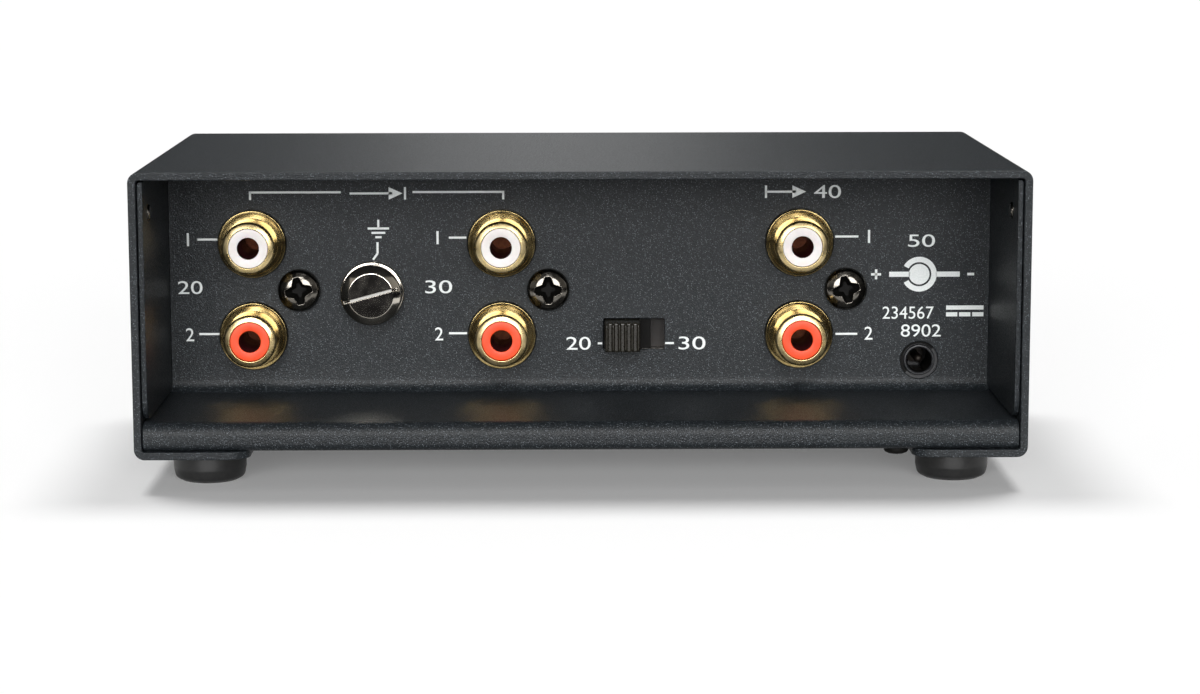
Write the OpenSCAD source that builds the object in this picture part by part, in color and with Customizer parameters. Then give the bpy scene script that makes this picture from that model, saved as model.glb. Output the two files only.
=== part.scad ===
// Compact phono preamplifier: a wrap-round steel cover over a folded chassis,
// with the connectors on a rear panel that is set back inside the cover.
// Millimetres. X runs along the width, Y from the connector side to the front,
// Z up from the surface that the feet stand on.

/* [Cover] */
// Width over the cover
case_w = 135; // [128:1:160]
// Depth of the cover, rear rim to front rim
case_d = 72; // [70:1:100]
// Height of the cover without the feet
case_h = 43.5; // [42:0.5:60]
// Thickness of the cover sheet
cover_t = 1.2; // [1:0.1:1.6]
// Outside bend radius of the cover
cover_bend_r = 1.6; // [1.5:0.1:4]
// Width of each return flange under the case, measured from the outside
flange_w = 17.3; // [17:0.1:22]
// Radius of the free corners of the return flanges
flange_corner_r = 3; // [1:0.5:4.5]

/* [Chassis] */
// Thickness of the chassis sheet
chassis_t = 0.8; // [0.6:0.1:1]
// Gap between the chassis and the cover
cover_gap = 0.1; // [0.05:0.05:0.3]
// Depth of the connector recess, rear rim to panel
recess_d = 30; // [25:0.5:32]
// Height of the recess floor above the underside of the bottom plate
shelf_h = 4.3; // [4:0.1:6]
// Distance of the folded lip inside the rear rim
lip_inset = 0.3; // [0.1:0.1:1]
// Outside radius of the fold at the top of the lip
lip_top_r = 2; // [1.2:0.1:2.4]
// Outside radius of the folds along the bottom plate
bottom_fold_r = 1.2; // [1.1:0.1:1.8]
// Inside radius where the recess floor turns up into the panel
panel_fold_r = 1.5; // [0.5:0.1:3]
// Height of the board above the bottom plate
board_lift = 2.6; // [2.5:0.1:4]

/* [Front] */
// Thickness of the front panel
fascia_t = 2.4; // [2:0.1:4]
// Bevel round the face of the front panel
fascia_bevel = 0.5; // [0.2:0.1:0.8]
// Distance of the power lamp from the left side of the cover
lamp_from_left = 29.5; // [27:0.5:32]
// Height of the power lamp above the board
lamp_h = 7; // [5:0.5:12]
// Diameter of the power lamp
lamp_d = 3; // [2:0.5:4]

/* [Sockets] */
// Distance of the first pair of phono sockets from the left side of the cover
mc_from_left = 15.3; // [14.5:0.1:17]
// Sideways place of the second pair of phono sockets, from the middle
mm_x = -12.5; // [-14:0.1:-11]
// Distance of the output pair of phono sockets from the right side of the cover
out_from_right = 32.5; // [31.5:0.1:35]
// Height of the lower sockets above the board
socket_h = 8.3; // [7.5:0.1:9.5]
// Distance between the two sockets of a pair
socket_pitch = 14.8; // [14:0.1:16]
// Outside diameter of a socket shell
shell_d = 8.3; // [8:0.05:8.6]
// Bore of a socket shell
shell_bore = 6.3; // [5.8:0.05:6.6]
// Distance that a socket shell stands out of the panel
shell_out = 7; // [6:0.1:9]
// Rounding of the shell's mouth
shell_edge_r = 0.8; // [0.3:0.1:0.9]
// Diameter of the collar at the root of a shell
collar_d = 10.7; // [9.8:0.1:11.5]
// Distance that the collar stands out of the panel
collar_out = 0.9; // [0.5:0.1:1.5]
// Hole for the centre pin of the plug
centre_bore = 3.45; // [3.3:0.05:3.7]
// Depth of a socket block behind the panel
block_d = 9.8; // [8.5:0.1:10.5]
// Sideways distance from a socket to the screw of its block
block_screw_x = 7.4; // [7:0.1:8]

/* [Ground terminal] */
// Distance of the ground terminal from the left side of the cover
ground_from_left = 34.3; // [32.5:0.1:36]
// Height of the ground terminal above the board
ground_h = 15.2; // [13:0.1:18]
// Diameter of the thumb screw's head
ground_head_d = 9.6; // [8.5:0.1:10.5]
// Length of the thumb screw's head
ground_head_l = 3.4; // [2.5:0.1:5]
// Diameter of the captive washer
washer_d = 10.2; // [9:0.1:11]
// Thickness of the captive washer
washer_t = 0.8; // [0.5:0.1:1.2]
// Diameter of the thumb screw's stem
stem_d = 3.9; // [3:0.1:4.5]
// Distance that the thumb screw unscrews
ground_travel = 2.8; // [1:0.1:3.5]

/* [Selector switch] */
// Sideways place of the middle of the switch, from the middle of the case
switch_x = 8.6; // [7.5:0.1:12]
// Height of the switch above the board
switch_h = 8.4; // [6:0.1:11]
// Length of the slot in the panel
slot_w = 9.8; // [9:0.1:11]
// Height of the slot in the panel
slot_h = 5; // [4:0.1:6]
// Width of the slider's thumb piece
knob_w = 5.6; // [4:0.1:6]
// Distance that the thumb piece stands out of the panel
knob_out = 4.6; // [3:0.1:6]

/* [Power inlet] */
// Distance of the power inlet from the right side of the cover
inlet_from_right = 13.1; // [12:0.1:14]
// Height of the power inlet above the board
inlet_h = 4; // [3.6:0.1:5]
// Diameter of the inlet's nose
nose_d = 5; // [4.6:0.1:6]
// Bore for the plug's barrel
barrel_bore = 4; // [3.6:0.1:4.4]
// Diameter of the inlet's centre pin
inlet_pin_d = 1.3; // [1:0.05:1.6]

/* [Feet and fasteners] */
// Diameter of a foot
foot_d = 11.2; // [10:0.1:13]
// Height of a foot
foot_h = 5; // [4:0.1:8]
// Distance of a foot's middle from the side of the cover
foot_inset_x = 10.1; // [8:0.1:10.5]
// Distance of a foot's middle from the rim of the cover
foot_inset_y = 11.6; // [10:0.1:12]
// Thread diameter of the foot screws and board screws
screw_d = 3; // [2.5:0.1:3.2]
// Diameter of the pan heads
pan_d = 6; // [5.5:0.1:6.4]
// Height of the pan heads
pan_h = 2.2; // [1.6:0.1:2.4]
// Thread diameter of the flat-headed side screws
side_screw_d = 2.5; // [2:0.1:2.8]
// Distance of the side screws from the rims of the cover
side_screw_y = 7; // [6:0.1:8]
// Distance of the side screws below the top of the cover
side_screw_drop = 6.7; // [6.5:0.1:12]

/* [Hidden] */
$fn = 64;
// running and seating clearances
run_gap = 0.05;
slide_gap = 0.2;
hole_gap = 0.1;
top_gap = 0.3;
// how far a cutting shape runs past what it cuts
cut = 1;

// planes along Y: outside faces of the rims, the panel and the front flange
rear_y = -case_d / 2;
front_y = case_d / 2;
panel_y = rear_y + recess_d;
panel_in = panel_y + chassis_t;
flange_y = front_y - fascia_t;
flange_in = flange_y - chassis_t;
lip_y = rear_y + lip_inset;

// heights
cover_top = foot_h + case_h;
plate_z = foot_h + cover_t;
plate_top = plate_z + chassis_t;
shelf_z = plate_z + shelf_h;
chassis_top = cover_top - cover_t - top_gap;

// half widths
side_in = case_w / 2 - cover_t;
chassis_x = side_in - cover_gap;
cheek_in = chassis_x - chassis_t;
cover_inner_r = max(cover_bend_r - cover_t, 0.2);
inner_corner_r = cover_inner_r + cover_gap;

// circuit board
board_t = 1.6;
board_side_gap = 2.4;
board_end_gap = 0.5;
board_z = plate_top + board_lift;
board_top = board_z + board_t;
board_x = cheek_in - board_side_gap;
board_rear = panel_in + board_end_gap;
board_front = flange_in - board_end_gap;
standoff_d = 5.5;
standoff_neck_d = 4;
rear_standoff_x = board_x - 4.5;
rear_standoff_y = board_rear + 15.2;
front_standoff_x = board_x - 16;
front_standoff_y = board_front - 3.7;
STANDOFFS = [
    [-rear_standoff_x, rear_standoff_y],
    [rear_standoff_x, rear_standoff_y],
    [-front_standoff_x, front_standoff_y],
    [front_standoff_x, front_standoff_y]
];
standoff_head_d = 5.4;
standoff_head_h = 1.8;
board_screw_l = 3.6;

// sockets
mc_x = mc_from_left - case_w / 2;
out_x = case_w / 2 - out_from_right;
lower_z = board_top + socket_h;
upper_z = lower_z + socket_pitch;
block_screw_z = (lower_z + upper_z) / 2;
block_half_w = 6.3;
block_above = 6.3;
block_ear_w = 3.4;
block_ear_h = 8;
insulator_inset = 0.3;
sleeve_d = 4.6;
sleeve_bore = 3.55;
sleeve_l = 6.5;
tail_w = 0.9;
tail_t = 0.4;
tail_back = 0.5;
tail_shift = 1.4;
block_screw_l = 7;

// ground terminal
ground_x = ground_from_left - case_w / 2;
ground_z = board_top + ground_h;
bush_bore = stem_d + 2 * run_gap;
spigot_d = stem_d + 1.3;
bush_d = stem_d + 4.1;
bush_l = 5;
strap_t = 0.4;
strap_w = 3;
stem_l = panel_in - panel_y + strap_t + bush_l + ground_travel;
head_bevel = 0.9;
groove_w = 1.2;
groove_depth = 1.1;
groove_turn = 15;
washer_bore = stem_d + 2 * hole_gap;

// selector switch
switch_z = board_top + switch_h;
can_t = 0.5;
can_x = slot_w / 2 + 2.3;
can_z = slot_h / 2 + 0.9;
can_d = 5.5;
knob_travel = slot_w - knob_w - 2 * slide_gap;
knob_x = switch_x - knob_travel / 2;
slider_half = can_x - can_t - knob_travel / 2 - slide_gap;
slider_d = 2.9;
slider_y = panel_in + can_t + slide_gap;
wiper_t = 0.4;
base_t = 1.2;
base_y = panel_in + can_d - base_t;
leg_d = 3;
rib_pitch = 1;
rib_groove = 0.45;
terminal_w = 0.8;
terminal_t = 0.4;

// power inlet
inlet_x = case_w / 2 - inlet_from_right;
inlet_z = board_top + inlet_h;
nose_gap = 0.55;
inlet_half_w = 4.5;
inlet_above = 4;
inlet_d = 9.3;
inlet_back = 2;
inlet_pin_foot_d = 3;
inlet_pin_foot_t = 0.8;
inlet_pin_inset = 1;
contact_t = 0.3;
contact_w = 1.6;

// feet, their screws and nuts
foot_x = case_w / 2 - foot_inset_x;
foot_y = case_d / 2 - foot_inset_y;
foot_edge_r = 1.2;
foot_recess_d = pan_d + 0.8;
foot_floor = 2;
nut_af = 1.8 * screw_d;
nut_h = 2;
foot_screw_top = plate_top + nut_h;

// flat-headed screws through the sides of the cover
side_head_d = side_screw_d + 2;
side_head_h = (side_head_d - side_screw_d) / 2;
side_tip = 1.5;
side_z = cover_top - side_screw_drop;
ear_l = side_screw_y + 4 - fascia_t;
ear_h = 12;
cheek_gap = 0.3;
cheek_corner_r = 3;

// small screw under the lip
earth_head_d = 3.8;
earth_head_h = 1.2;
earth_d = 2;
earth_nut_d = 4;
earth_nut_h = 1.6;
earth_x = case_w / 2 - flange_w - earth_head_d / 2 - 0.4;
earth_y = lip_y + bottom_fold_r + max(earth_head_d, earth_nut_d) / 2;

// front panel screws
fascia_screw_d = 2.5;
fascia_screw_x = chassis_x - 8;
fascia_screw_z = plate_z + case_h / 2;
fascia_head_d = 4.5;
fascia_head_h = 1.6;
fascia_thread_l = fascia_t / 2;

// power lamp
lamp_x = lamp_from_left - case_w / 2;
lamp_z = board_top + lamp_h;
lamp_l = 5.3;
lamp_tip = 0.2;
lamp_back = front_y - lamp_tip - lamp_d / 2 - lamp_l;
holder_w = lamp_d + 2;
holder_d = 3;
holder_lap = 1;

// sizes of the parts on the board
filter_d = 8;
filter_h = 12;
coupling_d = 5;
coupling_h = 11;
can_groove = 0.35;
can_groove_z = 1.2;
film_w = 7.2;
film_d = 3;
film_h = 7;
chip_w = 9.8;
chip_d = 6.4;
chip_h = 3.4;
chip_stand = 0.6;
leg_w = 0.6;
leg_t = 0.4;
lead_pitch = 2.54;
transistor_d = 4.6;
transistor_h = 4.6;
transistor_stand = 2;
resistor_l = 4;
resistor_d = 1.8;
resistor_span = 6.5;
resistor_wire = 0.5;
regulator_w = 10;
regulator_d = 4.4;
regulator_h = 9;
regulator_tab_h = 15.5;
regulator_tab_t = 1.3;
regulator_hole_d = 3.6;
regulator_leg_w = 0.8;
regulator_leg_t = 0.6;
regulator_stand = 3;

// rows of parts, spread over the free board between the sockets' tails and the front edge
tails_y = panel_in + block_d + tail_back + tail_t;
row_gap = (board_front - tails_y - chip_d - filter_d - resistor_d) / 4;
chip_row = tails_y + row_gap + chip_d / 2;
can_row = chip_row + chip_d / 2 + row_gap + filter_d / 2;
transistor_row = can_row - 1;
resistor_row = board_front - row_gap - resistor_d / 2;

// places of the parts along their rows
part_gap = 2;
close_gap = 0.8;
chip_gap = 3.2;
left_film_from_side = 17;
transistor_from_side = 8;
film_pitch = film_w + part_gap;
left_film_x = left_film_from_side - board_x;
right_film_x = 11;
chip_x = -11;
chip_pitch = chip_w + chip_gap;
regulator_x = 33;
filter_x = 20;
coupling_x = -23;
transistor_x = transistor_from_side - board_x;
transistor_pitch = transistor_d + close_gap;
resistor_x = -24;
resistor_pitch = resistor_span + part_gap;

// ---------- shared shapes ----------

// Sets children down with their own Z axis pointing out of the rear panel.
module outwards(x, y, z) {
    translate([x, y, z])
        rotate([90, 0, 0])
            children();
}

// Sets children down with their own Z axis pointing to the front.
module forwards(x, y, z) {
    translate([x, y, z])
        rotate([-90, 0, 0])
            children();
}

// Draws a flat outline in Y and Z and carries it along X.
module along_x(half) {
    translate([-half, 0, 0])
        rotate([90, 0, 90])
            linear_extrude(2 * half)
                children();
}

// Box between two corners.
module box(low, high) {
    translate(low)
        cube(high - low);
}

// Quarter of a folded sheet, with its centre at the origin and its arc towards dir.
module fold(outer_r, t, dir) {
    intersection() {
        difference() {
            circle(outer_r);
            circle(outer_r - t);
        }
        translate([dir.x < 0 ? -outer_r : 0, dir.y < 0 ? -outer_r : 0])
            square(outer_r);
    }
}

// Rounded rectangle that stands on the origin.
module round_box_2d(w, h, r) {
    translate([-w / 2 + r, 0])
        square([w - 2 * r, h]);
    translate([-w / 2, r])
        square([w, h - 2 * r]);
    for (sx = [-1, 1])
        for (z = [r, h - r])
            translate([sx * (w / 2 - r), z])
                circle(r);
}

// Pan head with a domed top, standing on the origin.
module pan_head(d, h) {
    dome_r = 0.75 * d;
    intersection() {
        cylinder(h = h, d = d);
        translate([0, 0, h - dome_r])
            sphere(dome_r);
    }
}

// Cross recess, cut down from the origin.
module cross_recess(size, depth) {
    wing = size / 4;
    intersection() {
        for (turn = [0, 90])
            rotate(turn)
                translate([-size / 2, -wing / 2, -depth])
                    cube([size, wing, 2 * depth]);
        translate([0, 0, -depth])
            cylinder(h = 2 * depth, d1 = 0.45 * size, d2 = 1.55 * size);
    }
}

// Pan-head screw whose head stands on the origin and whose shank runs down.
module pan_screw(head_d, head_h, d, l) {
    difference() {
        pan_head(head_d, head_h);
        translate([0, 0, head_h])
            cross_recess(0.55 * head_d, 0.6 * head_h);
    }
    translate([0, 0, -l])
        cylinder(h = l, d = d);
}

module hex_nut(af, h, bore) {
    difference() {
        cylinder(h = h, d = af / cos(30), $fn = 6);
        translate([0, 0, -cut])
            cylinder(h = h + 2 * cut, d = bore);
    }
}

module at_feet() {
    for (sx = [-1, 1])
        for (sy = [-1, 1])
            translate([sx * foot_x, sy * foot_y, 0])
                children();
}

// Places children at the four side screws, with their Z axis out of the side.
module at_side_screws(x) {
    for (sx = [-1, 1])
        for (y = [rear_y + side_screw_y, front_y - side_screw_y])
            translate([sx * x, y, side_z])
                rotate([0, sx * 90, 0])
                    children();
}

// ---------- sheet metal ----------

// The room inside the cover, as a block with rounded long edges that runs back from the front rim.
module inside_cover(depth) {
    translate([0, front_y, plate_z])
        rotate([90, 0, 0])
            linear_extrude(depth)
                round_box_2d(2 * chassis_x, chassis_top - plate_z, inner_corner_r);
}

module cover() {
    color("#36393d")
        difference() {
            translate([0, front_y, foot_h])
                rotate([90, 0, 0])
                    linear_extrude(case_d)
                        difference() {
                            round_box_2d(case_w, case_h, cover_bend_r);
                            translate([0, cover_t])
                                round_box_2d(2 * side_in, case_h - 2 * cover_t, cover_inner_r);
                            translate([-(case_w / 2 - flange_w), -cut])
                                square([case_w - 2 * flange_w, cut + cover_t + cover_bend_r]);
                        }
            for (sx = [-1, 1])
                for (sy = [-1, 1])
                    translate([sx * (case_w / 2 - flange_w), sy * case_d / 2, foot_h - cut])
                        flange_corner_cut(sx, sy);
            at_feet()
                translate([0, 0, foot_h - cut])
                    cylinder(h = cover_t + 2 * cut, d = screw_d + 2 * hole_gap);
            at_side_screws(side_in - cut) {
                cylinder(h = cover_t + 2 * cut, d = side_screw_d + 2 * hole_gap);
                translate([0, 0, cut + cover_t - side_head_h])
                    cylinder(h = side_head_h + 0.01, d1 = side_screw_d, d2 = side_head_d + 0.02);
            }
        }
}

// Waste outside the rounded free corner of a return flange.
module flange_corner_cut(sx, sy) {
    r = flange_corner_r;
    difference() {
        translate([sx < 0 ? -r : -cut, sy > 0 ? -r : -cut, 0])
            cube([r + cut, r + cut, cover_t + 1.5 * cut]);
        translate([sx * r, -sy * r, -cut])
            cylinder(h = cover_t + 4 * cut, r = r);
    }
}

// The folded sheet seen from its end: bottom plate, lip, recess floor, panel and front flange.
module chassis_profile() {
    t = chassis_t;
    translate([lip_y + bottom_fold_r, plate_z])
        square([flange_y - lip_y - 2 * bottom_fold_r, t]);
    translate([lip_y + bottom_fold_r, plate_z + bottom_fold_r])
        fold(bottom_fold_r, t, [-1, -1]);
    translate([lip_y, plate_z + bottom_fold_r])
        square([t, shelf_h - bottom_fold_r - lip_top_r]);
    translate([lip_y + lip_top_r, shelf_z - lip_top_r])
        fold(lip_top_r, t, [-1, 1]);
    translate([lip_y + lip_top_r, shelf_z - t])
        square([panel_y - panel_fold_r - lip_y - lip_top_r, t]);
    translate([panel_y - panel_fold_r, shelf_z + panel_fold_r])
        fold(panel_fold_r + t, t, [1, -1]);
    translate([panel_y, shelf_z + panel_fold_r])
        square([t, chassis_top - shelf_z - panel_fold_r]);
    translate([flange_y - bottom_fold_r, plate_z + bottom_fold_r])
        fold(bottom_fold_r, t, [1, -1]);
    translate([flange_in, plate_z + bottom_fold_r])
        square([t, chassis_top - plate_z - bottom_fold_r]);
}

// Side cheek of the recess, from the panel to the rear rim, with a rounded lower corner.
module cheek_outline() {
    low = shelf_z + cheek_gap;
    r = cheek_corner_r;
    translate([lip_y + r, low])
        square([panel_in - lip_y - r, r]);
    translate([lip_y, low + r])
        square([panel_in - lip_y, chassis_top - low - r]);
    translate([lip_y + r, low + r])
        circle(r);
}

module chassis() {
    color("#33363a")
        difference() {
            intersection() {
                union() {
                    along_x(chassis_x)
                        chassis_profile();
                    for (sx = [-1, 1])
                        translate([sx * (cheek_in + chassis_t / 2), 0, 0])
                            along_x(chassis_t / 2) {
                                cheek_outline();
                                translate([flange_y - ear_l, side_z - ear_h / 2])
                                    square([ear_l - chassis_t / 2, ear_h]);
                            }
                }
                inside_cover(case_d);
            }
            panel_holes();
            at_feet()
                translate([0, 0, plate_z - cut])
                    cylinder(h = chassis_t + 2 * cut, d = screw_d + 2 * hole_gap);
            for (at = STANDOFFS)
                translate([at.x, at.y, plate_z - cut])
                    cylinder(h = chassis_t + 2 * cut, d = standoff_neck_d + 2 * run_gap);
            translate([earth_x, earth_y, plate_z - cut])
                cylinder(h = chassis_t + 2 * cut, d = earth_d + 2 * hole_gap);
            at_side_screws(cheek_in - cut)
                cylinder(h = chassis_t + cover_gap + 1.5 * cut, d = side_screw_d + 2 * run_gap);
            forwards(lamp_x, flange_in - cut, lamp_z)
                cylinder(h = chassis_t + 2 * cut, d = lamp_d + 4 * hole_gap);
            for (sx = [-1, 1])
                forwards(sx * fascia_screw_x, flange_in - cut, fascia_screw_z)
                    cylinder(h = chassis_t + 2 * cut, d = fascia_screw_d + 2 * hole_gap);
        }
}

// Everything that is pierced through the rear panel.
module panel_holes() {
    deep = chassis_t + 2 * cut;
    for (x = [mc_x, mm_x, out_x]) {
        for (z = [lower_z, upper_z])
            outwards(x, panel_in + cut, z)
                cylinder(h = deep, d = collar_d + 2 * hole_gap);
        outwards(x + block_screw_x, panel_in + cut, block_screw_z)
            cylinder(h = deep, d = screw_d + 2 * hole_gap);
    }
    outwards(ground_x, panel_in + cut, ground_z)
        cylinder(h = deep, d = spigot_d + 2 * run_gap);
    outwards(inlet_x, panel_in + cut, inlet_z)
        cylinder(h = deep, d = nose_d + 2 * nose_gap);
    box([switch_x - slot_w / 2, panel_y - cut, switch_z - slot_h / 2],
        [switch_x + slot_w / 2, panel_in + cut, switch_z + slot_h / 2]);
}

// Waste outside a bevel on an edge along Z, with the solid towards -X and -Y.
module bevel_waste(bevel, l) {
    rotate(45)
        translate([-bevel / sqrt(2), -bevel - cut, -l / 2 - cut])
            cube([bevel + cut, 2 * (bevel + cut), l + 2 * cut]);
}

module front_panel() {
    middle = (plate_z + chassis_top) / 2;
    panel_h = chassis_top - plate_z;
    color("#222427")
        difference() {
            inside_cover(fascia_t);
            for (flip = [0, 1]) {
                mirror([flip, 0, 0])
                    translate([chassis_x, front_y, middle])
                        bevel_waste(fascia_bevel, panel_h);
                translate([0, 0, middle])
                    mirror([0, 0, flip])
                        translate([0, front_y, -panel_h / 2])
                            rotate([0, 90, 0])
                                bevel_waste(fascia_bevel, 2 * chassis_x);
            }
            forwards(lamp_x, flange_y - cut, lamp_z)
                cylinder(h = fascia_t + 2 * cut, d = lamp_d + 2 * hole_gap);
            for (sx = [-1, 1])
                forwards(sx * fascia_screw_x, flange_y - cut, fascia_screw_z)
                    cylinder(h = cut + fascia_thread_l, d = fascia_screw_d + 2 * run_gap);
        }
}

// ---------- circuit board ----------

module circuit_board() {
    color("#1f5d3a")
        difference() {
            box([-board_x, board_rear, board_z], [board_x, board_front, board_top]);
            for (at = STANDOFFS)
                translate([at.x, at.y, board_z - cut])
                    cylinder(h = board_t + 2 * cut, d = screw_d + 2 * hole_gap);
        }
}

module board_standoffs() {
    color("#c9a24d")
        for (at = STANDOFFS)
            translate([at.x, at.y, 0])
                difference() {
                    union() {
                        translate([0, 0, plate_z])
                            cylinder(h = chassis_t, d = standoff_neck_d);
                        translate([0, 0, plate_top])
                            cylinder(h = board_lift, d = standoff_d);
                    }
                    translate([0, 0, plate_top - chassis_t / 2])
                        cylinder(h = board_lift + 2 * cut, d = screw_d + 2 * run_gap);
                }
}

module board_screws() {
    color("#b8bcc0")
        for (at = STANDOFFS)
            translate([at.x, at.y, board_top])
                pan_screw(standoff_head_d, standoff_head_h, screw_d, board_screw_l);
}

// ---------- phono sockets ----------

// Moulded block that carries two sockets, with a screw ear at one side.
module socket_block(x) {
    ear_x = x + block_screw_x;
    color("#1b1c1e")
        difference() {
            union() {
                box([x - block_half_w, panel_in, board_top],
                    [x + block_half_w, panel_in + block_d, upper_z + block_above]);
                box([x, panel_in, block_screw_z - block_ear_h / 2],
                    [ear_x + block_ear_w, panel_in + block_d, block_screw_z + block_ear_h / 2]);
            }
            for (z = [lower_z, upper_z])
                outwards(x, panel_in + block_d + cut, z)
                    cylinder(h = block_d + 2 * cut, d = sleeve_d + 2 * run_gap);
            outwards(ear_x, panel_in + block_screw_l, block_screw_z)
                cylinder(h = block_screw_l + cut, d = screw_d + 2 * run_gap);
        }
}

// Gilt shell: a collar that seats on the block and a barrel with a rounded mouth.
module socket_shell(x, z) {
    barrel = chassis_t + shell_out;
    collar = chassis_t + collar_out;
    edge = min(shell_edge_r, (shell_d - shell_bore) / 2 - 0.05);
    bore_r = shell_bore / 2;
    color("#cfa75a")
        outwards(x, panel_in, z)
            rotate_extrude()
                difference() {
                    union() {
                        square([collar_d / 2, collar]);
                        square([shell_d / 2, barrel - edge]);
                        square([shell_d / 2 - edge, barrel]);
                        translate([shell_d / 2 - edge, barrel - edge])
                            circle(edge);
                    }
                    translate([-cut, -cut])
                        square([bore_r + cut, barrel + 2 * cut]);
                }
}

module socket_insulator(x, z, tint) {
    color(tint)
        outwards(x, panel_in, z)
            difference() {
                cylinder(h = chassis_t + shell_out - insulator_inset, d = shell_bore - 2 * run_gap);
                translate([0, 0, -cut])
                    cylinder(h = chassis_t + shell_out + 2 * cut, d = centre_bore);
            }
}

// The two spring sleeves of a block, each with a tail down to the board.
module socket_contacts(x) {
    back_y = panel_in + block_d;
    color("#b9b4a6")
        for (i = [0, 1]) {
            z = i == 0 ? lower_z : upper_z;
            tail_x = x + (i == 0 ? tail_shift : -tail_shift);
            difference() {
                union() {
                    forwards(x, panel_in + run_gap, z)
                        cylinder(h = sleeve_l, d = sleeve_d);
                    box([tail_x - tail_w / 2, panel_in + sleeve_l - tail_w, z - tail_t],
                        [tail_x + tail_w / 2, back_y + tail_back + tail_t, z]);
                    box([tail_x - tail_w / 2, back_y + tail_back, board_top],
                        [tail_x + tail_w / 2, back_y + tail_back + tail_t, z]);
                }
                forwards(x, panel_in - cut, z)
                    cylinder(h = cut + sleeve_l - tail_t, d = sleeve_bore);
            }
        }
}

module socket_screws() {
    color("#2a2927")
        for (x = [mc_x, mm_x, out_x])
            outwards(x + block_screw_x, panel_y, block_screw_z)
                pan_screw(pan_d, pan_h, screw_d, block_screw_l + chassis_t - 0.5);
}

// ---------- ground terminal ----------

module ground_screw() {
    color("#c4c0b8")
        outwards(ground_x, panel_y - washer_t, ground_z) {
            difference() {
                union() {
                    cylinder(h = ground_head_l - head_bevel, d = ground_head_d);
                    translate([0, 0, ground_head_l - head_bevel])
                        cylinder(h = head_bevel, d1 = ground_head_d, d2 = ground_head_d - 2 * head_bevel);
                }
                translate([0, 0, ground_head_l])
                    rotate(groove_turn)
                        cube([2 * ground_head_d, groove_w, 2 * groove_depth], center = true);
            }
            translate([0, 0, -stem_l - washer_t])
                cylinder(h = stem_l + washer_t, d = stem_d);
        }
}

module ground_washer() {
    color("#a9a59c")
        outwards(ground_x, panel_y, ground_z)
            difference() {
                cylinder(h = washer_t, d = washer_d);
                translate([0, 0, -cut])
                    cylinder(h = washer_t + 2 * cut, d = washer_bore);
            }
}

module ground_bush() {
    color("#c9a24d")
        forwards(ground_x, panel_y, ground_z)
            difference() {
                union() {
                    cylinder(h = chassis_t + strap_t, d = spigot_d);
                    translate([0, 0, chassis_t + strap_t])
                        cylinder(h = bush_l, d = bush_d, $fn = 6);
                }
                translate([0, 0, -cut])
                    cylinder(h = chassis_t + strap_t + bush_l + 2 * cut, d = bush_bore);
            }
}

// Solder strap from the ground bush down to the board.
module ground_strap() {
    color("#b98a4a")
        difference() {
            union() {
                forwards(ground_x, panel_in, ground_z)
                    cylinder(h = strap_t, d = bush_d);
                box([ground_x - strap_w / 2, panel_in, board_z],
                    [ground_x + strap_w / 2, panel_in + strap_t, ground_z]);
            }
            forwards(ground_x, panel_in - cut, ground_z)
                cylinder(h = strap_t + 2 * cut, d = spigot_d + 2 * run_gap);
        }
}

// ---------- selector switch ----------

// Pressed steel can with a window for the thumb piece and a leg at each end.
module switch_can() {
    top = switch_z + can_z;
    low = switch_z - can_z;
    color("#8f9498")
        difference() {
            union() {
                box([switch_x - can_x, panel_in, low], [switch_x + can_x, panel_in + can_d, top]);
                for (sx = [-1, 1])
                    translate([switch_x + sx * (can_x - can_t / 2), 0, 0])
                        box([-can_t / 2, panel_in, board_top], [can_t / 2, panel_in + leg_d, low + can_t]);
            }
            box([switch_x - can_x + can_t, panel_in + can_t, low + can_t],
                [switch_x + can_x - can_t, panel_in + can_d + cut, top - can_t]);
            box([switch_x - slot_w / 2, panel_in - cut, switch_z - slot_h / 2],
                [switch_x + slot_w / 2, panel_in + can_t + cut, switch_z + slot_h / 2]);
        }
}

module switch_base() {
    inset = can_t + run_gap;
    color("#6b4a2c")
        box([switch_x - can_x + inset, base_y, switch_z - can_z + inset],
            [switch_x + can_x - inset, base_y + base_t, switch_z + can_z - inset]);
}

// Six tails, three in each row, from the back of the base down to the board.
module switch_terminals() {
    back = base_y + base_t;
    color("#b9b4a6")
        for (i = [-1, 0, 1])
            for (row = [0, 1]) {
                z = switch_z + (row == 0 ? -1 : 1) * slot_h / 4;
                x = switch_x + i * slot_w / 3 + (row == 0 ? -1 : 1) * terminal_w;
                reach = back + terminal_w;
                box([x - terminal_w / 2, back, z - terminal_t],
                    [x + terminal_w / 2, reach + terminal_t, z]);
                box([x - terminal_w / 2, reach, board_top], [x + terminal_w / 2, reach + terminal_t, z]);
            }
}

// Slider with a ribbed thumb piece that reaches through the slot.
module switch_knob() {
    face = panel_y - knob_out;
    half_h = slot_h / 2 - slide_gap;
    ribs = floor((knob_w - rib_pitch) / rib_pitch);
    color("#17181a")
        difference() {
            union() {
                box([knob_x - knob_w / 2, face, switch_z - half_h],
                    [knob_x + knob_w / 2, slider_y + slider_d / 2, switch_z + half_h]);
                box([knob_x - slider_half, slider_y, switch_z - can_z + can_t + slide_gap],
                    [knob_x + slider_half, slider_y + slider_d, switch_z + can_z - can_t - slide_gap]);
            }
            for (i = [0:ribs - 1])
                translate([knob_x + (i - (ribs - 1) / 2) * rib_pitch, 0, 0])
                    box([-rib_groove / 2, face - cut, switch_z - half_h - cut],
                        [rib_groove / 2, face + rib_groove, switch_z + half_h + cut]);
        }
}

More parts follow.
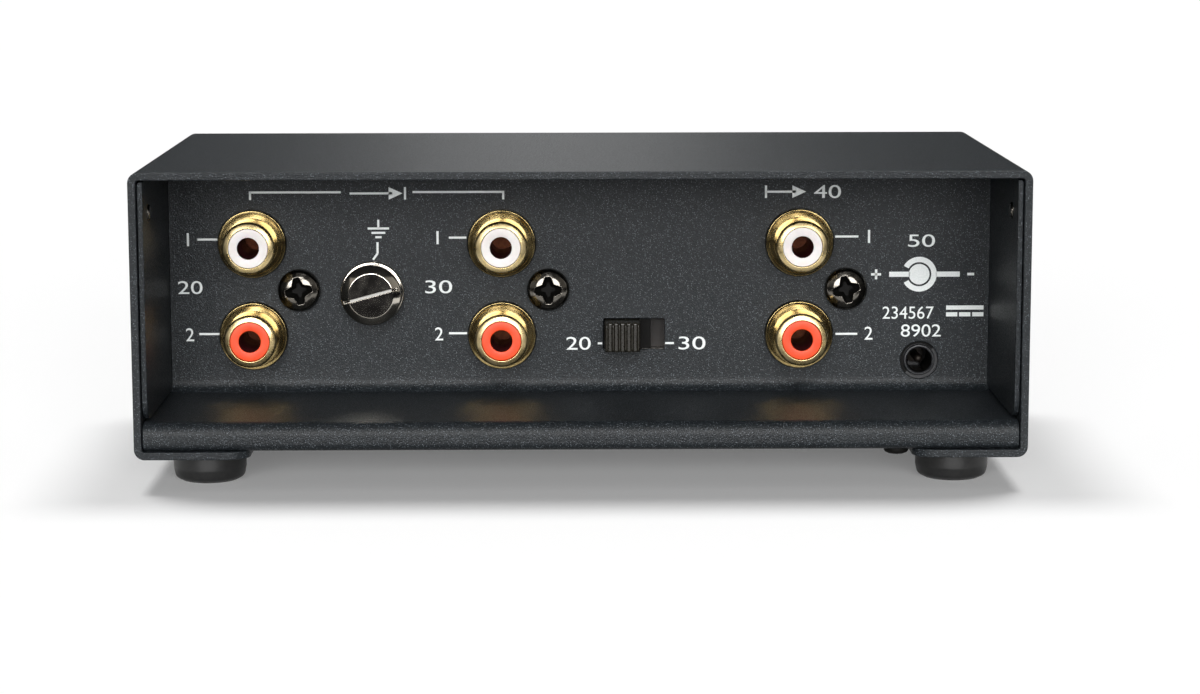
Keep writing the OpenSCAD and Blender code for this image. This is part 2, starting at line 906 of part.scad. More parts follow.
// Bronze bridge that slides with the thumb piece.
module switch_wiper() {
    y = slider_y + slider_d;
    color("#b98a4a")
        for (row = [-1, 1])
            box([knob_x - slot_w / 4, y, switch_z + row * slot_h / 4 - terminal_w],
                [knob_x + slot_w / 4, y + wiper_t, switch_z + row * slot_h / 4 + terminal_w]);
}

// ---------- power inlet ----------

module inlet_body() {
    slot_half = contact_w / 2 + hole_gap;
    color("#1d1e20")
        difference() {
            union() {
                box([inlet_x - inlet_half_w, panel_in, board_top],
                    [inlet_x + inlet_half_w, panel_in + inlet_d, inlet_z + inlet_above]);
                outwards(inlet_x, panel_in + chassis_t, inlet_z)
                    cylinder(h = 2 * chassis_t, d = nose_d);
            }
            outwards(inlet_x, panel_in + inlet_d - inlet_back, inlet_z)
                cylinder(h = inlet_d + chassis_t, d = barrel_bore);
            box([inlet_x - slot_half, panel_in + inlet_back, board_top - cut],
                [inlet_x + slot_half, panel_in + inlet_d - inlet_back, inlet_z - barrel_bore / 4]);
        }
}

module inlet_pin() {
    back = panel_in + inlet_d - inlet_back;
    tip_r = inlet_pin_d / 2;
    reach = back - panel_y - inlet_pin_inset;
    color("#c7c9cb")
        outwards(inlet_x, back, inlet_z) {
            cylinder(h = inlet_pin_foot_t, d = inlet_pin_foot_d);
            cylinder(h = reach - tip_r, d = inlet_pin_d);
            translate([0, 0, reach - tip_r])
                sphere(tip_r);
        }
}

// Leaf that presses on the barrel of the plug, with a tail to the board.
module inlet_contact() {
    y0 = panel_in + inlet_back + contact_t;
    y1 = panel_in + inlet_d - inlet_back - contact_t;
    z = inlet_z - barrel_bore / 2 - contact_t;
    color("#b98a4a") {
        box([inlet_x - contact_w / 2, y0, z], [inlet_x + contact_w / 2, y1, z + contact_t]);
        box([inlet_x - contact_w / 2, y1 - contact_t, board_top],
            [inlet_x + contact_w / 2, y1, z + contact_t]);
    }
}

// ---------- feet and fasteners ----------

// Rubber foot with a rounded lower edge and a recess for its screw.
module foot(sx, sy) {
    r = foot_d / 2;
    e = foot_edge_r;
    color("#222224")
        translate([sx * foot_x, sy * foot_y, 0])
            rotate_extrude()
                difference() {
                    union() {
                        translate([0, e])
                            square([r, foot_h - e]);
                        square([r - e, foot_h]);
                        translate([r - e, e])
                            circle(e);
                    }
                    translate([-cut, -cut])
                        square([cut + foot_recess_d / 2, cut + foot_h - foot_floor]);
                    translate([-cut, -cut])
                        square([cut + screw_d / 2 + hole_gap, foot_h + 2 * cut]);
                }
}

module foot_screws() {
    seat = foot_h - foot_floor;
    color("#8b8f93")
        at_feet()
            translate([0, 0, seat])
                rotate([180, 0, 0])
                    pan_screw(pan_d, pan_h, screw_d, foot_screw_top - seat);
}

module foot_nuts() {
    color("#a7abae")
        at_feet()
            translate([0, 0, plate_top])
                hex_nut(nut_af, nut_h, screw_d + 2 * run_gap);
}

// Flat-headed screws that hold the cover to the cheeks and the front ears.
module side_screws() {
    reach = case_w / 2 - cheek_in + side_tip;
    color("#3a3b3d")
        at_side_screws(case_w / 2 - reach)
            difference() {
                union() {
                    cylinder(h = reach - side_head_h / 2, d = side_screw_d);
                    translate([0, 0, reach - side_head_h])
                        cylinder(h = side_head_h, d1 = side_screw_d, d2 = side_head_d);
                }
                translate([0, 0, reach])
                    cross_recess(0.5 * side_head_d, 0.7 * side_head_h);
            }
}

module earth_screw() {
    shank = chassis_t + earth_nut_h;
    color("#2a2b2d")
        translate([earth_x, earth_y, plate_z])
            rotate([180, 0, 0])
                pan_screw(earth_head_d, earth_head_h, earth_d, shank);
}

module earth_nut() {
    color("#a7abae")
        translate([earth_x, earth_y, plate_top])
            hex_nut(earth_nut_d, earth_nut_h, earth_d + 2 * run_gap);
}

module front_panel_screws() {
    color("#8b8f93")
        for (sx = [-1, 1])
            outwards(sx * fascia_screw_x, flange_in, fascia_screw_z)
                pan_screw(fascia_head_d, fascia_head_h, fascia_screw_d, chassis_t + fascia_thread_l);
}

// ---------- power lamp ----------

module power_lamp() {
    r = lamp_d / 2;
    color("#7fbf7a")
        forwards(lamp_x, lamp_back, lamp_z) {
            cylinder(h = lamp_l, r = r);
            translate([0, 0, lamp_l])
                sphere(r);
        }
}

// Moulded post that holds the lamp up from the board.
module lamp_holder() {
    color("#1b1c1e")
        difference() {
            box([lamp_x - holder_w / 2, lamp_back - holder_d + holder_lap, board_top],
                [lamp_x + holder_w / 2, lamp_back + holder_lap, lamp_z + holder_w / 2]);
            forwards(lamp_x, lamp_back, lamp_z)
                cylinder(h = holder_lap + cut, d = lamp_d + 2 * run_gap);
        }
}

// ---------- parts on the board ----------

// Electrolytic can with a rolled groove near its foot.
module can_capacitor(d, h) {
    difference() {
        cylinder(h = h, d = d);
        translate([0, 0, can_groove_z])
            difference() {
                cylinder(h = 2 * can_groove, d = d + cut);
                translate([0, 0, -cut])
                    cylinder(h = 2 * (can_groove + cut), d = d - 2 * can_groove);
            }
    }
}

module filter_capacitors() {
    color("#2b3552")
        for (i = [0:2])
            translate([filter_x + i * (filter_d + part_gap), can_row, board_top])
                can_capacitor(filter_d, filter_h);
}

module coupling_capacitors() {
    color("#2a2a2c")
        for (i = [0:5])
            translate([coupling_x + i * (coupling_d + part_gap), can_row, board_top])
                can_capacitor(coupling_d, coupling_h);
}

// Box-shaped film capacitors, three at the left and two at the right.
module film_capacitors() {
    color("#9c2f24")
        for (group = [[left_film_x, 3], [right_film_x, 2]])
            for (i = [0:group[1] - 1])
                translate([group[0] + i * film_pitch - film_w / 2, chip_row - film_d / 2, board_top])
                    cube([film_w, film_d, film_h]);
}

// Eight-legged amplifier chips.
module op_amps() {
    color("#1a1a1b")
        for (n = [0, 1])
            translate([chip_x + n * chip_pitch, chip_row, board_top]) {
                translate([-chip_w / 2, -chip_d / 2, chip_stand])
                    cube([chip_w, chip_d, chip_h]);
                for (i = [-1.5:1:1.5])
                    for (sy = [-1, 1])
                        translate([i * lead_pitch - leg_w / 2, sy * (chip_d - leg_t) / 2 - leg_t / 2, 0])
                            cube([leg_w, leg_t, chip_stand + leg_w]);
            }
}

// Small three-legged transistors with a flat on the round body.
module transistors() {
    flat_y = 0.28 * transistor_d;
    color("#1a1a1b")
        for (n = [0:3])
            translate([transistor_x + n * transistor_pitch, transistor_row, board_top]) {
                translate([0, 0, transistor_stand])
                    difference() {
                        cylinder(h = transistor_h, d = transistor_d);
                        translate([-transistor_d, flat_y, -cut])
                            cube([2 * transistor_d, transistor_d, transistor_h + 2 * cut]);
                    }
                for (i = [-1:1])
                    translate([i * lead_pitch / 2 - leg_t / 2, -leg_t / 2, 0])
                        cube([leg_t, leg_t, transistor_stand + leg_t]);
            }
}

module resistors() {
    wire = resistor_wire;
    lead_z = (resistor_d - wire) / 2;
    color("#c9b48a")
        for (n = [0:7])
            translate([resistor_x + n * resistor_pitch, resistor_row, board_top]) {
                translate([-resistor_l / 2, 0, resistor_d / 2])
                    rotate([0, 90, 0])
                        cylinder(h = resistor_l, d = resistor_d);
                translate([-resistor_span / 2, -wire / 2, lead_z])
                    cube([resistor_span, wire, wire]);
                for (sx = [-1, 1])
                    translate([sx * (resistor_span - wire) / 2 - wire / 2, -wire / 2, 0])
                        cube([wire, wire, lead_z + wire / 2]);
            }
}

// Three-legged regulator with a metal tab.
module regulator() {
    low = -regulator_w / 2;
    w = regulator_leg_w;
    t = regulator_leg_t;
    color("#1f1f21")
        translate([regulator_x, chip_row, board_top])
            difference() {
                union() {
                    translate([low, -regulator_d / 2, regulator_stand])
                        cube([regulator_w, regulator_d, regulator_h]);
                    translate([low, regulator_d / 2 - regulator_tab_t, regulator_stand])
                        cube([regulator_w, regulator_tab_t, regulator_tab_h]);
                    for (i = [-1:1])
                        translate([i * lead_pitch - w / 2, -t / 2, 0])
                            cube([w, t, regulator_stand + w]);
                }
                forwards(0, -regulator_d, regulator_stand + regulator_tab_h - regulator_hole_d)
                    cylinder(h = 2 * regulator_d, d = regulator_hole_d);
            }
}

cover();
chassis();
front_panel();
circuit_board();
board_standoffs();
board_screws();
socket_block(mc_x);  // mc_socket_block
socket_block(mm_x);  // mm_socket_block
socket_block(out_x);  // out_socket_block
socket_shell(mc_x, upper_z);  // mc_left_shell
socket_shell(mc_x, lower_z);  // mc_right_shell
socket_shell(mm_x, upper_z);  // mm_left_shell
socket_shell(mm_x, lower_z);  // mm_right_shell
socket_shell(out_x, upper_z);  // out_left_shell
socket_shell(out_x, lower_z);  // out_right_shell
socket_insulator(mc_x, upper_z, "#efe9e6");  // mc_left_insulator
socket_insulator(mc_x, lower_z, "#e0401c");  // mc_right_insulator
socket_insulator(mm_x, upper_z, "#efe9e6");  // mm_left_insulator
socket_insulator(mm_x, lower_z, "#e0401c");  // mm_right_insulator
socket_insulator(out_x, upper_z, "#efe9e6");  // out_left_insulator
socket_insulator(out_x, lower_z, "#e0401c");  // out_right_insulator
socket_contacts(mc_x);  // mc_socket_contacts
socket_contacts(mm_x);  // mm_socket_contacts
socket_contacts(out_x);  // out_socket_contacts
socket_screws();
ground_screw();
ground_washer();
ground_bush();
ground_strap();
switch_can();
switch_base();
switch_terminals();
switch_knob();
switch_wiper();
inlet_body();
inlet_pin();
inlet_contact();
foot(-1, -1);  // rear_left_foot
foot(1, -1);  // rear_right_foot
foot(-1, 1);  // front_left_foot
foot(1, 1);  // front_right_foot
foot_screws();
foot_nuts();
side_screws();
earth_screw();
earth_nut();
front_panel_screws();
power_lamp();
lamp_holder();
filter_capacitors();
coupling_capacitors();
film_capacitors();
op_amps();
transistors();
resistors();
regulator();
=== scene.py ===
# %% [markdown]
# # A phono preamplifier in a folded steel case
#
# The real object is a small sheet-metal box: a painted steel cover wraps round a folded chassis, and
# the sockets stand on a panel that is set back inside the cover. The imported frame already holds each
# part as a solid at its real size. Here each part that shows gets the shape and the finish that the
# maker's tools would leave: rolled bends, softened edges, turned metal, moulded plastic and print.

# %% Load the frame
import math

import bmesh
import bpy
from mathutils import Matrix, Vector


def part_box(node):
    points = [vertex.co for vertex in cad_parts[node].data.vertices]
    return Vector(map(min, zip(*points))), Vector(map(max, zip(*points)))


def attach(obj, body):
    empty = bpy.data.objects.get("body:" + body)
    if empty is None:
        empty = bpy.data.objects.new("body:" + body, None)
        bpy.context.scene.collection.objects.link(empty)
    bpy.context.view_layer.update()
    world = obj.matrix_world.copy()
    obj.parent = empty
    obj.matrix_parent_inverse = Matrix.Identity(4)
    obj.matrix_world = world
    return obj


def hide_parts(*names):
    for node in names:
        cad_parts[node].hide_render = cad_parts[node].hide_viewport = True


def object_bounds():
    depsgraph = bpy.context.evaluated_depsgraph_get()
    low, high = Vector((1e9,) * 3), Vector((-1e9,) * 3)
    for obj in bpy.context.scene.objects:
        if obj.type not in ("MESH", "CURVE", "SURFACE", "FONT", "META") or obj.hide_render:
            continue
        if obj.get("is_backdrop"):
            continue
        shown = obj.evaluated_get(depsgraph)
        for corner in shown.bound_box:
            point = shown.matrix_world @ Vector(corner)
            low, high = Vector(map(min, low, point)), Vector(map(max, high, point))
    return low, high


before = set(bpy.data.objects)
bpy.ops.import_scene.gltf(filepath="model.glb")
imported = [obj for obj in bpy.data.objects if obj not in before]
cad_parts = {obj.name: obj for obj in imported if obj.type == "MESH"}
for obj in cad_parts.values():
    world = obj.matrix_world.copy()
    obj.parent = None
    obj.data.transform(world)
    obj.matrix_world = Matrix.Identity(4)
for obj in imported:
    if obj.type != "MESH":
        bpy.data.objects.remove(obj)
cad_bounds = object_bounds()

MM = 0.001
scene = bpy.context.scene
scene.view_settings.view_transform = "Standard"

# %% [markdown]
# ## The camera
#
# A product shot of this kind is taken from straight behind, a little above the case, with a long
# lens. The camera could be aimed by a constraint, but a turn about each axis in the order in which a
# tripod head moves is easier to read: pan, then tilt, then roll.

# %% Camera
CAMERA_PLACE = Vector((-2.56, -481.98, 90.46)) * MM
PAN = 0.012  # radians to the right
TILT = 0.1521  # radians downwards
ROLL = -0.0015
LENS, SENSOR = 90.15, 36  # mm
NEAREST, FURTHEST = 0.01, 30  # metres; what lies outside isn't drawn

camera_data = bpy.data.cameras.new("camera")
camera_data.lens = LENS
camera_data.sensor_width = SENSOR
camera_data.clip_start = NEAREST
camera_data.clip_end = FURTHEST
camera = bpy.data.objects.new("camera", camera_data)
camera.matrix_world = (
    Matrix.Translation(CAMERA_PLACE)
    @ Matrix.Rotation(-PAN, 4, "Z")
    @ Matrix.Rotation(math.pi / 2 - TILT, 4, "X")
    @ Matrix.Rotation(ROLL, 4, "Z")
)
scene.collection.objects.link(camera)
scene.camera = camera
print(f"camera: {CAMERA_PLACE.length / MM:.0f} mm from the middle of the case")

# %% [markdown]
# ## Three small tools
#
# Shader trees and geometry trees are built in the same way: a node, its settings and what feeds it.
# One function does that for every kind of node. A colour is written as the hex value that a paint
# chart would give, and another function turns it into the linear values that the renderer works in.
# The third starts a material. Patterns lie on Object coordinates, in metres, so their sizes are real.


# %% A node, a colour and an empty material
def add(tree, kind, inputs=None, **settings):
    """Adds a node. Settings are its properties; inputs are values, or sockets or nodes that feed it."""
    made = tree.nodes.new(kind)
    for name, value in settings.items():
        setattr(made, name, value)
    for key, value in (inputs or {}).items():
        if isinstance(value, bpy.types.Node):
            value = value.outputs[0]
        if isinstance(value, bpy.types.NodeSocket):
            tree.links.new(value, made.inputs[key])
        else:
            made.inputs[key].default_value = value
    return made


def linear(code):
    """Turns an sRGB hex colour such as 8A7F60 into linear red, green, blue and full alpha."""
    parts = [int(code[i : i + 2], 16) / 255 for i in (0, 2, 4)]
    return [p / 12.92 if p <= 0.04045 else ((p + 0.055) / 1.055) ** 2.4 for p in parts] + [1.0]


def new_material(name):
    """An empty material: itself, its tree and the place in the object, in metres."""
    made = bpy.data.materials.new(name)
    made.use_nodes = True
    made.node_tree.nodes.clear()
    return made, made.node_tree, add(made.node_tree, "ShaderNodeTexCoord").outputs["Object"]


print("paint grey in linear light:", [round(v, 3) for v in linear("33373B")[:3]])

# %% [markdown]
# ## Floor, room and lamps
#
# The case stands on white paper. Paper that is lit until it clips would flood the dark paint with
# light, so the lamps stay at a plain level, at which the paper renders a little under white, and the
# paper gives off the rest to the camera, to mirrors and to glass only. Towards paint it bounces
# light like a grey paper, so the recess stays dark. Its shadow is kept, and a black card keeps the
# front softbox off the paper, where it would wash the shadow out.
#
# The room is a studio, and bright metal shows what stands in it: light walls at the sides and
# overhead with a pair of softboxes, a dim end behind the camera, and a dark backdrop with one bright
# strip, which draws the streak along the case's top. The diffuse light that the room sends out is
# the same from every side.

# %% Floor
PAPER_SIZE = 8.0  # metres
PAPER_GLOW = 0.14  # what the paper adds to the light that it throws back
TABLE_EDGE = -0.09  # metres; mirrors see the dim room in front of it

paper, tree, place = new_material("white_paper_sweep")
rays = add(tree, "ShaderNodeLightPath")
seen = add(tree, "ShaderNodeMath", {0: rays.outputs["Is Camera Ray"], 1: rays.outputs["Is Glossy Ray"]})
seen = add(tree, "ShaderNodeMath", {0: seen, 1: rays.outputs["Is Transmission Ray"]})
glow = add(tree, "ShaderNodeMath", {0: seen, 1: PAPER_GLOW}, operation="MULTIPLY")
tones = {"Factor": rays.outputs["Is Diffuse Ray"], 6: linear("EFEFEF"), 7: linear("8A8A8C")}
tone = add(tree, "ShaderNodeMix", tones, data_type="RGBA").outputs[2]
matt = add(tree, "ShaderNodeBsdfDiffuse", {"Color": tone})
shine = add(tree, "ShaderNodeEmission", {"Color": linear("FFFFFF"), "Strength": glow})
both = add(tree, "ShaderNodeAddShader", {0: matt, 1: shine})
spot = add(tree, "ShaderNodeSeparateXYZ", {0: place})
before = add(tree, "ShaderNodeMath", {0: spot.outputs["Y"], 1: TABLE_EDGE}, operation="LESS_THAN")
dim = add(tree, "ShaderNodeMath", {0: before, 1: rays.outputs["Is Glossy Ray"]}, operation="MULTIPLY")
dark = add(tree, "ShaderNodeEmission", {"Color": linear("17171A"), "Strength": 1.0})
shown = add(tree, "ShaderNodeMixShader", {0: dim, 1: both, 2: dark})
# Seen from below, the paper isn't there, so the underside can be looked at.
under = add(tree, "ShaderNodeNewGeometry").outputs["Backfacing"]
nothing = add(tree, "ShaderNodeBsdfTransparent")
shown = add(tree, "ShaderNodeMixShader", {0: under, 1: shown, 2: nothing})
add(tree, "ShaderNodeOutputMaterial", {"Surface": shown})

floor_mesh = bpy.data.meshes.new("floor")
half = PAPER_SIZE / 2
corners = [(-half, -half, 0), (half, -half, 0), (half, half, 0), (-half, half, 0)]
floor_mesh.from_pydata(corners, [], [(0, 1, 2, 3)])
floor_mesh.materials.append(paper)
floor = bpy.data.objects.new("floor", floor_mesh)
scene.collection.objects.link(floor)
floor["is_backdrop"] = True
print("floor:", PAPER_SIZE, "m square")

# %% Room
ROOM_LIGHT = 0.15  # diffuse light from every side, where 1 is white
BACKDROP = 0.5  # how squarely a direction meets the backdrop where that begins
STRIP_LIGHT = (0.024, 0.074)  # half width of the bright strip, where it begins to fade and where it ends
STRIP_AT = -0.004  # how far the strip hangs to the right of the middle
WALLS = (0.6, 0.9)  # how squarely a direction meets an end of the room where the walls fade and end
SIDE_BOXES = (0.92, -0.16, 0.35)  # towards the right one of the pair of softboxes
BOX_EDGE = (0.92, 0.95)  # how squarely a direction meets a softbox where that begins and is full

world = bpy.data.worlds.new("studio")
scene.world = world
world.use_nodes = True
tree = world.node_tree
tree.nodes.clear()
way = add(tree, "ShaderNodeTexCoord")
split = add(tree, "ShaderNodeSeparateXYZ", {0: way.outputs["Generated"]})
aside = add(tree, "ShaderNodeMath", {0: split.outputs["X"], 1: STRIP_AT}, operation="SUBTRACT")
aside = add(tree, "ShaderNodeMath", {0: aside}, operation="ABSOLUTE")
fade = {"From Min": STRIP_LIGHT[0], "From Max": STRIP_LIGHT[1], "To Min": 1.0, "To Max": 0.0}
strip = add(tree, "ShaderNodeMapRange", {"Value": aside, **fade}, interpolation_type="SMOOTHSTEP")
behind = add(tree, "ShaderNodeMath", {0: split.outputs["Y"], 1: BACKDROP}, operation="GREATER_THAN")
strip = add(tree, "ShaderNodeMath", {0: strip, 1: behind}, operation="MULTIPLY")
squarely = add(tree, "ShaderNodeMath", {0: split.outputs["Y"]}, operation="ABSOLUTE")
fade = {"From Min": WALLS[0], "From Max": WALLS[1], "To Min": 1.0, "To Max": 0.0}
walls = add(tree, "ShaderNodeMapRange", {"Value": squarely, **fade}, interpolation_type="SMOOTHSTEP")
shades = {"Factor": behind, 6: linear("3A3833"), 7: linear("141416")}
ends = add(tree, "ShaderNodeMix", shades, data_type="RGBA").outputs[2]
twin = add(tree, "ShaderNodeCombineXYZ", {"X": aside, "Y": split.outputs["Y"], "Z": split.outputs["Z"]})
facing = add(tree, "ShaderNodeVectorMath", {0: twin, 1: SIDE_BOXES}, operation="DOT_PRODUCT")
box = {"Value": facing.outputs["Value"], "From Min": BOX_EDGE[0], "From Max": BOX_EDGE[1]}
boxes = add(tree, "ShaderNodeMapRange", box, interpolation_type="SMOOTHSTEP")
mirrored = ends
for share, code in ((walls, "A8A5A0"), (strip, "FFFFFF"), (boxes, "FFFFFF")):
    layer = {"Factor": share, 6: mirrored, 7: linear(code)}
    mirrored = add(tree, "ShaderNodeMix", layer, data_type="RGBA").outputs[2]
rays = add(tree, "ShaderNodeLightPath")
ambient = add(tree, "ShaderNodeBackground", {"Color": linear("FFFFFF"), "Strength": ROOM_LIGHT})
studio = add(tree, "ShaderNodeBackground", {"Color": mirrored, "Strength": 1.0})
white = add(tree, "ShaderNodeBackground", {"Color": linear("FFFFFF"), "Strength": 1.0})
straight = {0: rays.outputs["Is Camera Ray"], 1: rays.outputs["Is Transmission Ray"]}
direct = add(tree, "ShaderNodeMath", straight, operation="MAXIMUM")
in_metal = add(tree, "ShaderNodeMixShader", {0: rays.outputs["Is Glossy Ray"], 1: ambient, 2: studio})
shown = add(tree, "ShaderNodeMixShader", {0: direct, 1: in_metal, 2: white})
add(tree, "ShaderNodeOutputWorld", {"Surface": shown})
print("room light:", ROOM_LIGHT)

# %% Lamps
# name, direction that the light comes from (to the right, forwards, up), strength, spread in degrees
LAMPS = [
    ("left_softbox", (-0.24, -0.955, 0.165), 1.45, 26),
    ("right_softbox", (0.24, -0.955, 0.165), 1.35, 26),
    ("front_softbox", (0.0, -0.82, 0.57), 1.2, 16),
    ("top_left_softbox", (-0.26, 0.24, 0.93), 1.2, 18),
    ("top_right_softbox", (0.22, 0.26, 0.94), 1.2, 18),
]
for name, source, strength, spread in LAMPS:
    data = bpy.data.lights.new(name, "SUN")
    data.energy = strength
    data.angle = math.radians(spread)
    lamp = bpy.data.objects.new(name, data)
    lamp.rotation_euler = Vector(source).to_track_quat("Z", "Y").to_euler()
    scene.collection.objects.link(lamp)
# The black card: the front softbox lights everything except the floor.
card = bpy.data.collections.new("off_the_paper")
card.objects.link(floor)
card.collection_objects[0].light_linking.link_state = "EXCLUDE"
bpy.data.objects["front_softbox"].light_linking.receiver_collection = card
print("lamps:", [name for name, *_ in LAMPS])

# %% [markdown]
# ## Shapes from outlines
#
# Almost every part of this object starts as an outline: sheet metal is bent along one, a lathe turns
# one, and a mould is cut to one. An outline here is a few corners in millimetres, each with its own
# radius, and each round corner becomes a short arc.


# %% Round corners
def arc(corner, before, after, radius, steps):
    """The points of the arc that rounds a corner off between its two neighbours."""
    here = Vector(corner)
    to_before = (Vector(before) - here).normalized()
    to_after = (Vector(after) - here).normalized()
    half = to_before.angle(to_after) / 2
    centre = here + (to_before + to_after).normalized() * radius / math.sin(half)
    start = here + to_before * radius / math.tan(half) - centre
    end = here + to_after * radius / math.tan(half) - centre
    sweep = start.angle(end)
    points = []
    for step in range(steps + 1):
        share = step / steps
        near = start * math.sin((1 - share) * sweep)
        far = end * math.sin(share * sweep)
        points.append(centre + (near + far) / math.sin(sweep))
    return points


def rounded(corners, steps=6):
    """A closed outline from (x, y) or (x, y, radius) corners."""
    outline = []
    for index, corner in enumerate(corners):
        before = corners[index - 1][:2]
        after = corners[(index + 1) % len(corners)][:2]
        if len(corner) > 2:
            outline += arc(corner[:2], before, after, corner[2], steps)
        else:
            outline.append(Vector(corner))
    return outline


def disc(x, y, diameter, steps=48):
    """A round outline."""
    turns = [2 * math.pi * i / steps for i in range(steps)]
    return [Vector((x + math.cos(t) * diameter / 2, y + math.sin(t) * diameter / 2)) for t in turns]


def block(x0, y0, x1, y1, radius=None):
    """A rectangular outline, with round corners if a radius is given."""
    corners = [(x0, y0), (x1, y0), (x1, y1), (x0, y1)]
    return rounded([c + (radius,) for c in corners]) if radius else rounded(corners)


print("a round corner adds", len(block(0, 0, 9, 9, 1)) // 4, "points")


# %% [markdown]
# ## From outline to object
# Three ways of making are enough for the hard parts. A prism is cut from plate or moulded, a turned
# part comes off a lathe, and a Boolean drills or joins. Each result is a plain mesh at the frame's
# origin with its place in its points, so that patterns find it where the solid is.


# %% Objects, and their finish
def new_object(name, mesh):
    made = bpy.data.objects.new(name, mesh)
    scene.collection.objects.link(made)
    return made


def built(name, shape, lie=None):
    """Makes an object of a shape drawn in mm, laid in place, with its faces pointing outwards."""
    move = Matrix.Scale(MM, 4) @ (lie or Matrix.Identity(4))
    bmesh.ops.transform(shape, matrix=move, verts=shape.verts)
    bmesh.ops.remove_doubles(shape, verts=shape.verts, dist=1e-7)
    bmesh.ops.recalc_face_normals(shape, faces=shape.faces)
    mesh = bpy.data.meshes.new(name)
    shape.to_mesh(mesh)
    shape.free()
    return new_object(name, mesh)


def settle(piece):
    """Turns a piece and its modifiers into one plain mesh."""
    graph = bpy.context.evaluated_depsgraph_get()
    mesh = bpy.data.meshes.new_from_object(piece.evaluated_get(graph), depsgraph=graph)
    piece.modifiers.clear()
    piece.data = mesh
    return piece


def smooth(piece, angle=32):
    """Shades a piece smoothly, except across edges that are sharper than the angle."""
    piece.data.polygons.foreach_set("use_smooth", [True] * len(piece.data.polygons))
    piece.data.set_sharp_from_angle(angle=math.radians(angle))
    return piece


def soften(piece, width, steps=2, angle=32):
    """Rounds a piece's sharp edges by a width in mm, as paint, plating or a mould does."""
    smooth(piece, angle)
    bevel = piece.modifiers.new("soften", "BEVEL")
    bevel.width = width * MM
    bevel.segments = steps
    bevel.limit_method = "ANGLE"
    bevel.angle_limit = math.radians(angle)
    bevel.use_clamp_overlap = False
    bevel.harden_normals = True
    return settle(piece)


def combine(piece, other, operation):
    """Takes another object out of a piece, adds it or keeps what both hold. The other goes away."""
    boolean = piece.modifiers.new("combine", "BOOLEAN")
    boolean.operation = operation
    boolean.solver = "EXACT"
    boolean.object = other
    settle(piece)
    bpy.data.objects.remove(other)
    return piece


def finish(piece, material, slot, body, *nodes):
    """Dresses a piece and tells the frame which body carries it and which solids it stands for."""
    piece.data.materials.clear()
    piece.data.materials.append(material)
    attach(piece, body)
    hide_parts(*nodes)
    print(f"{piece.name}: {len(piece.data.polygons)} faces")


CLOSE = 0.01  # mm; what is nearer than this counts as touching


def line_with(piece, material, inside):
    """Gives a second finish to the faces whose middle, in mm, passes a test."""
    piece.data.materials.append(material)
    for face in piece.data.polygons:
        if inside(face.center / MM):
            face.material_index = 1


# %% A prism and a turned part
# Parts that face the rear are drawn flat, with their height towards the viewer behind the case.
OUTWARDS = Matrix.Rotation(math.pi / 2, 4, "X")
SPARE = 1.0  # mm that a cutter reaches past what it cuts


def prisms(name, outlines, low, high, lie=None, taper=1.0):
    """Solids of flat outlines in mm, from height low to high; taper scales the low end."""
    shape = bmesh.new()
    for outline in outlines:
        count = len(outline)
        bottom = [shape.verts.new((p[0] * taper, p[1] * taper, low)) for p in outline]
        top = [shape.verts.new((p[0], p[1], high)) for p in outline]
        shape.faces.new(list(reversed(bottom)))
        shape.faces.new(top)
        for i in range(count):
            j = (i + 1) % count
            shape.faces.new((bottom[i], bottom[j], top[j], top[i]))
    return built(name, shape, lie)


def cut(piece, outlines, low, high, lie=None):
    """Cuts prisms of outlines out of a piece, with a little to spare at both ends."""
    combine(piece, prisms("cut", outlines, low - SPARE, high + SPARE, lie), "DIFFERENCE")


def turned(name, outline, lie=None, steps=64):
    """A lathe: turns an outline of (radius, height) points about Z. Its UV map, turning, holds the
    share of a turn and the way along the outline in mm, so tool marks can follow the cut."""
    shape = bmesh.new()
    uv = shape.loops.layers.uv.new("turning")
    turns = [2 * math.pi * i / steps for i in range(steps)]
    rings = []
    ways = [0.0]
    for index, (radius, height) in enumerate(outline):
        if radius < 1e-6:
            rings.append([shape.verts.new((0, 0, height))] * steps)
        else:
            places = [(radius * math.cos(t), radius * math.sin(t), height) for t in turns]
            rings.append([shape.verts.new(place) for place in places])
        following = outline[(index + 1) % len(outline)]
        ways.append(ways[-1] + math.dist((radius, height), following))
    is_ring = min(radius for radius, _ in outline) > 1e-6
    for index in range(len(outline) if is_ring else len(outline) - 1):
        near = rings[index]
        far = rings[(index + 1) % len(rings)]
        for i in range(steps):
            j = (i + 1) % steps
            spots = {near[i]: (i, 0), near[j]: (i + 1, 0), far[j]: (i + 1, 1), far[i]: (i, 1)}
            if len(spots) < 3:
                continue
            face = shape.faces.new(list(spots))
            for loop, (turn, end) in zip(face.loops, spots.values()):
                loop[uv].uv = (turn / steps, ways[index + end])
    return built(name, shape, lie)


# %% [markdown]
# ## Materials
#
# Each finish starts from what it is and how it was made. All of them end alike: two tones, a
# roughness that wanders between two values, and a bump of a real depth. The plain ones, such as
# moulded plastic or plating, take all three from one noise whose marks have a size in millimetres.
# Finishes with a pattern of their own follow.

# %% The recipe for a plain finish
SPREAD = {"From Min": 0.3, "From Max": 0.7}  # noise seldom leaves this range


def per_mm(size):
    """The texture scale, per metre, at which a pattern's features are about size mm wide."""
    return 1 / (size * MM)


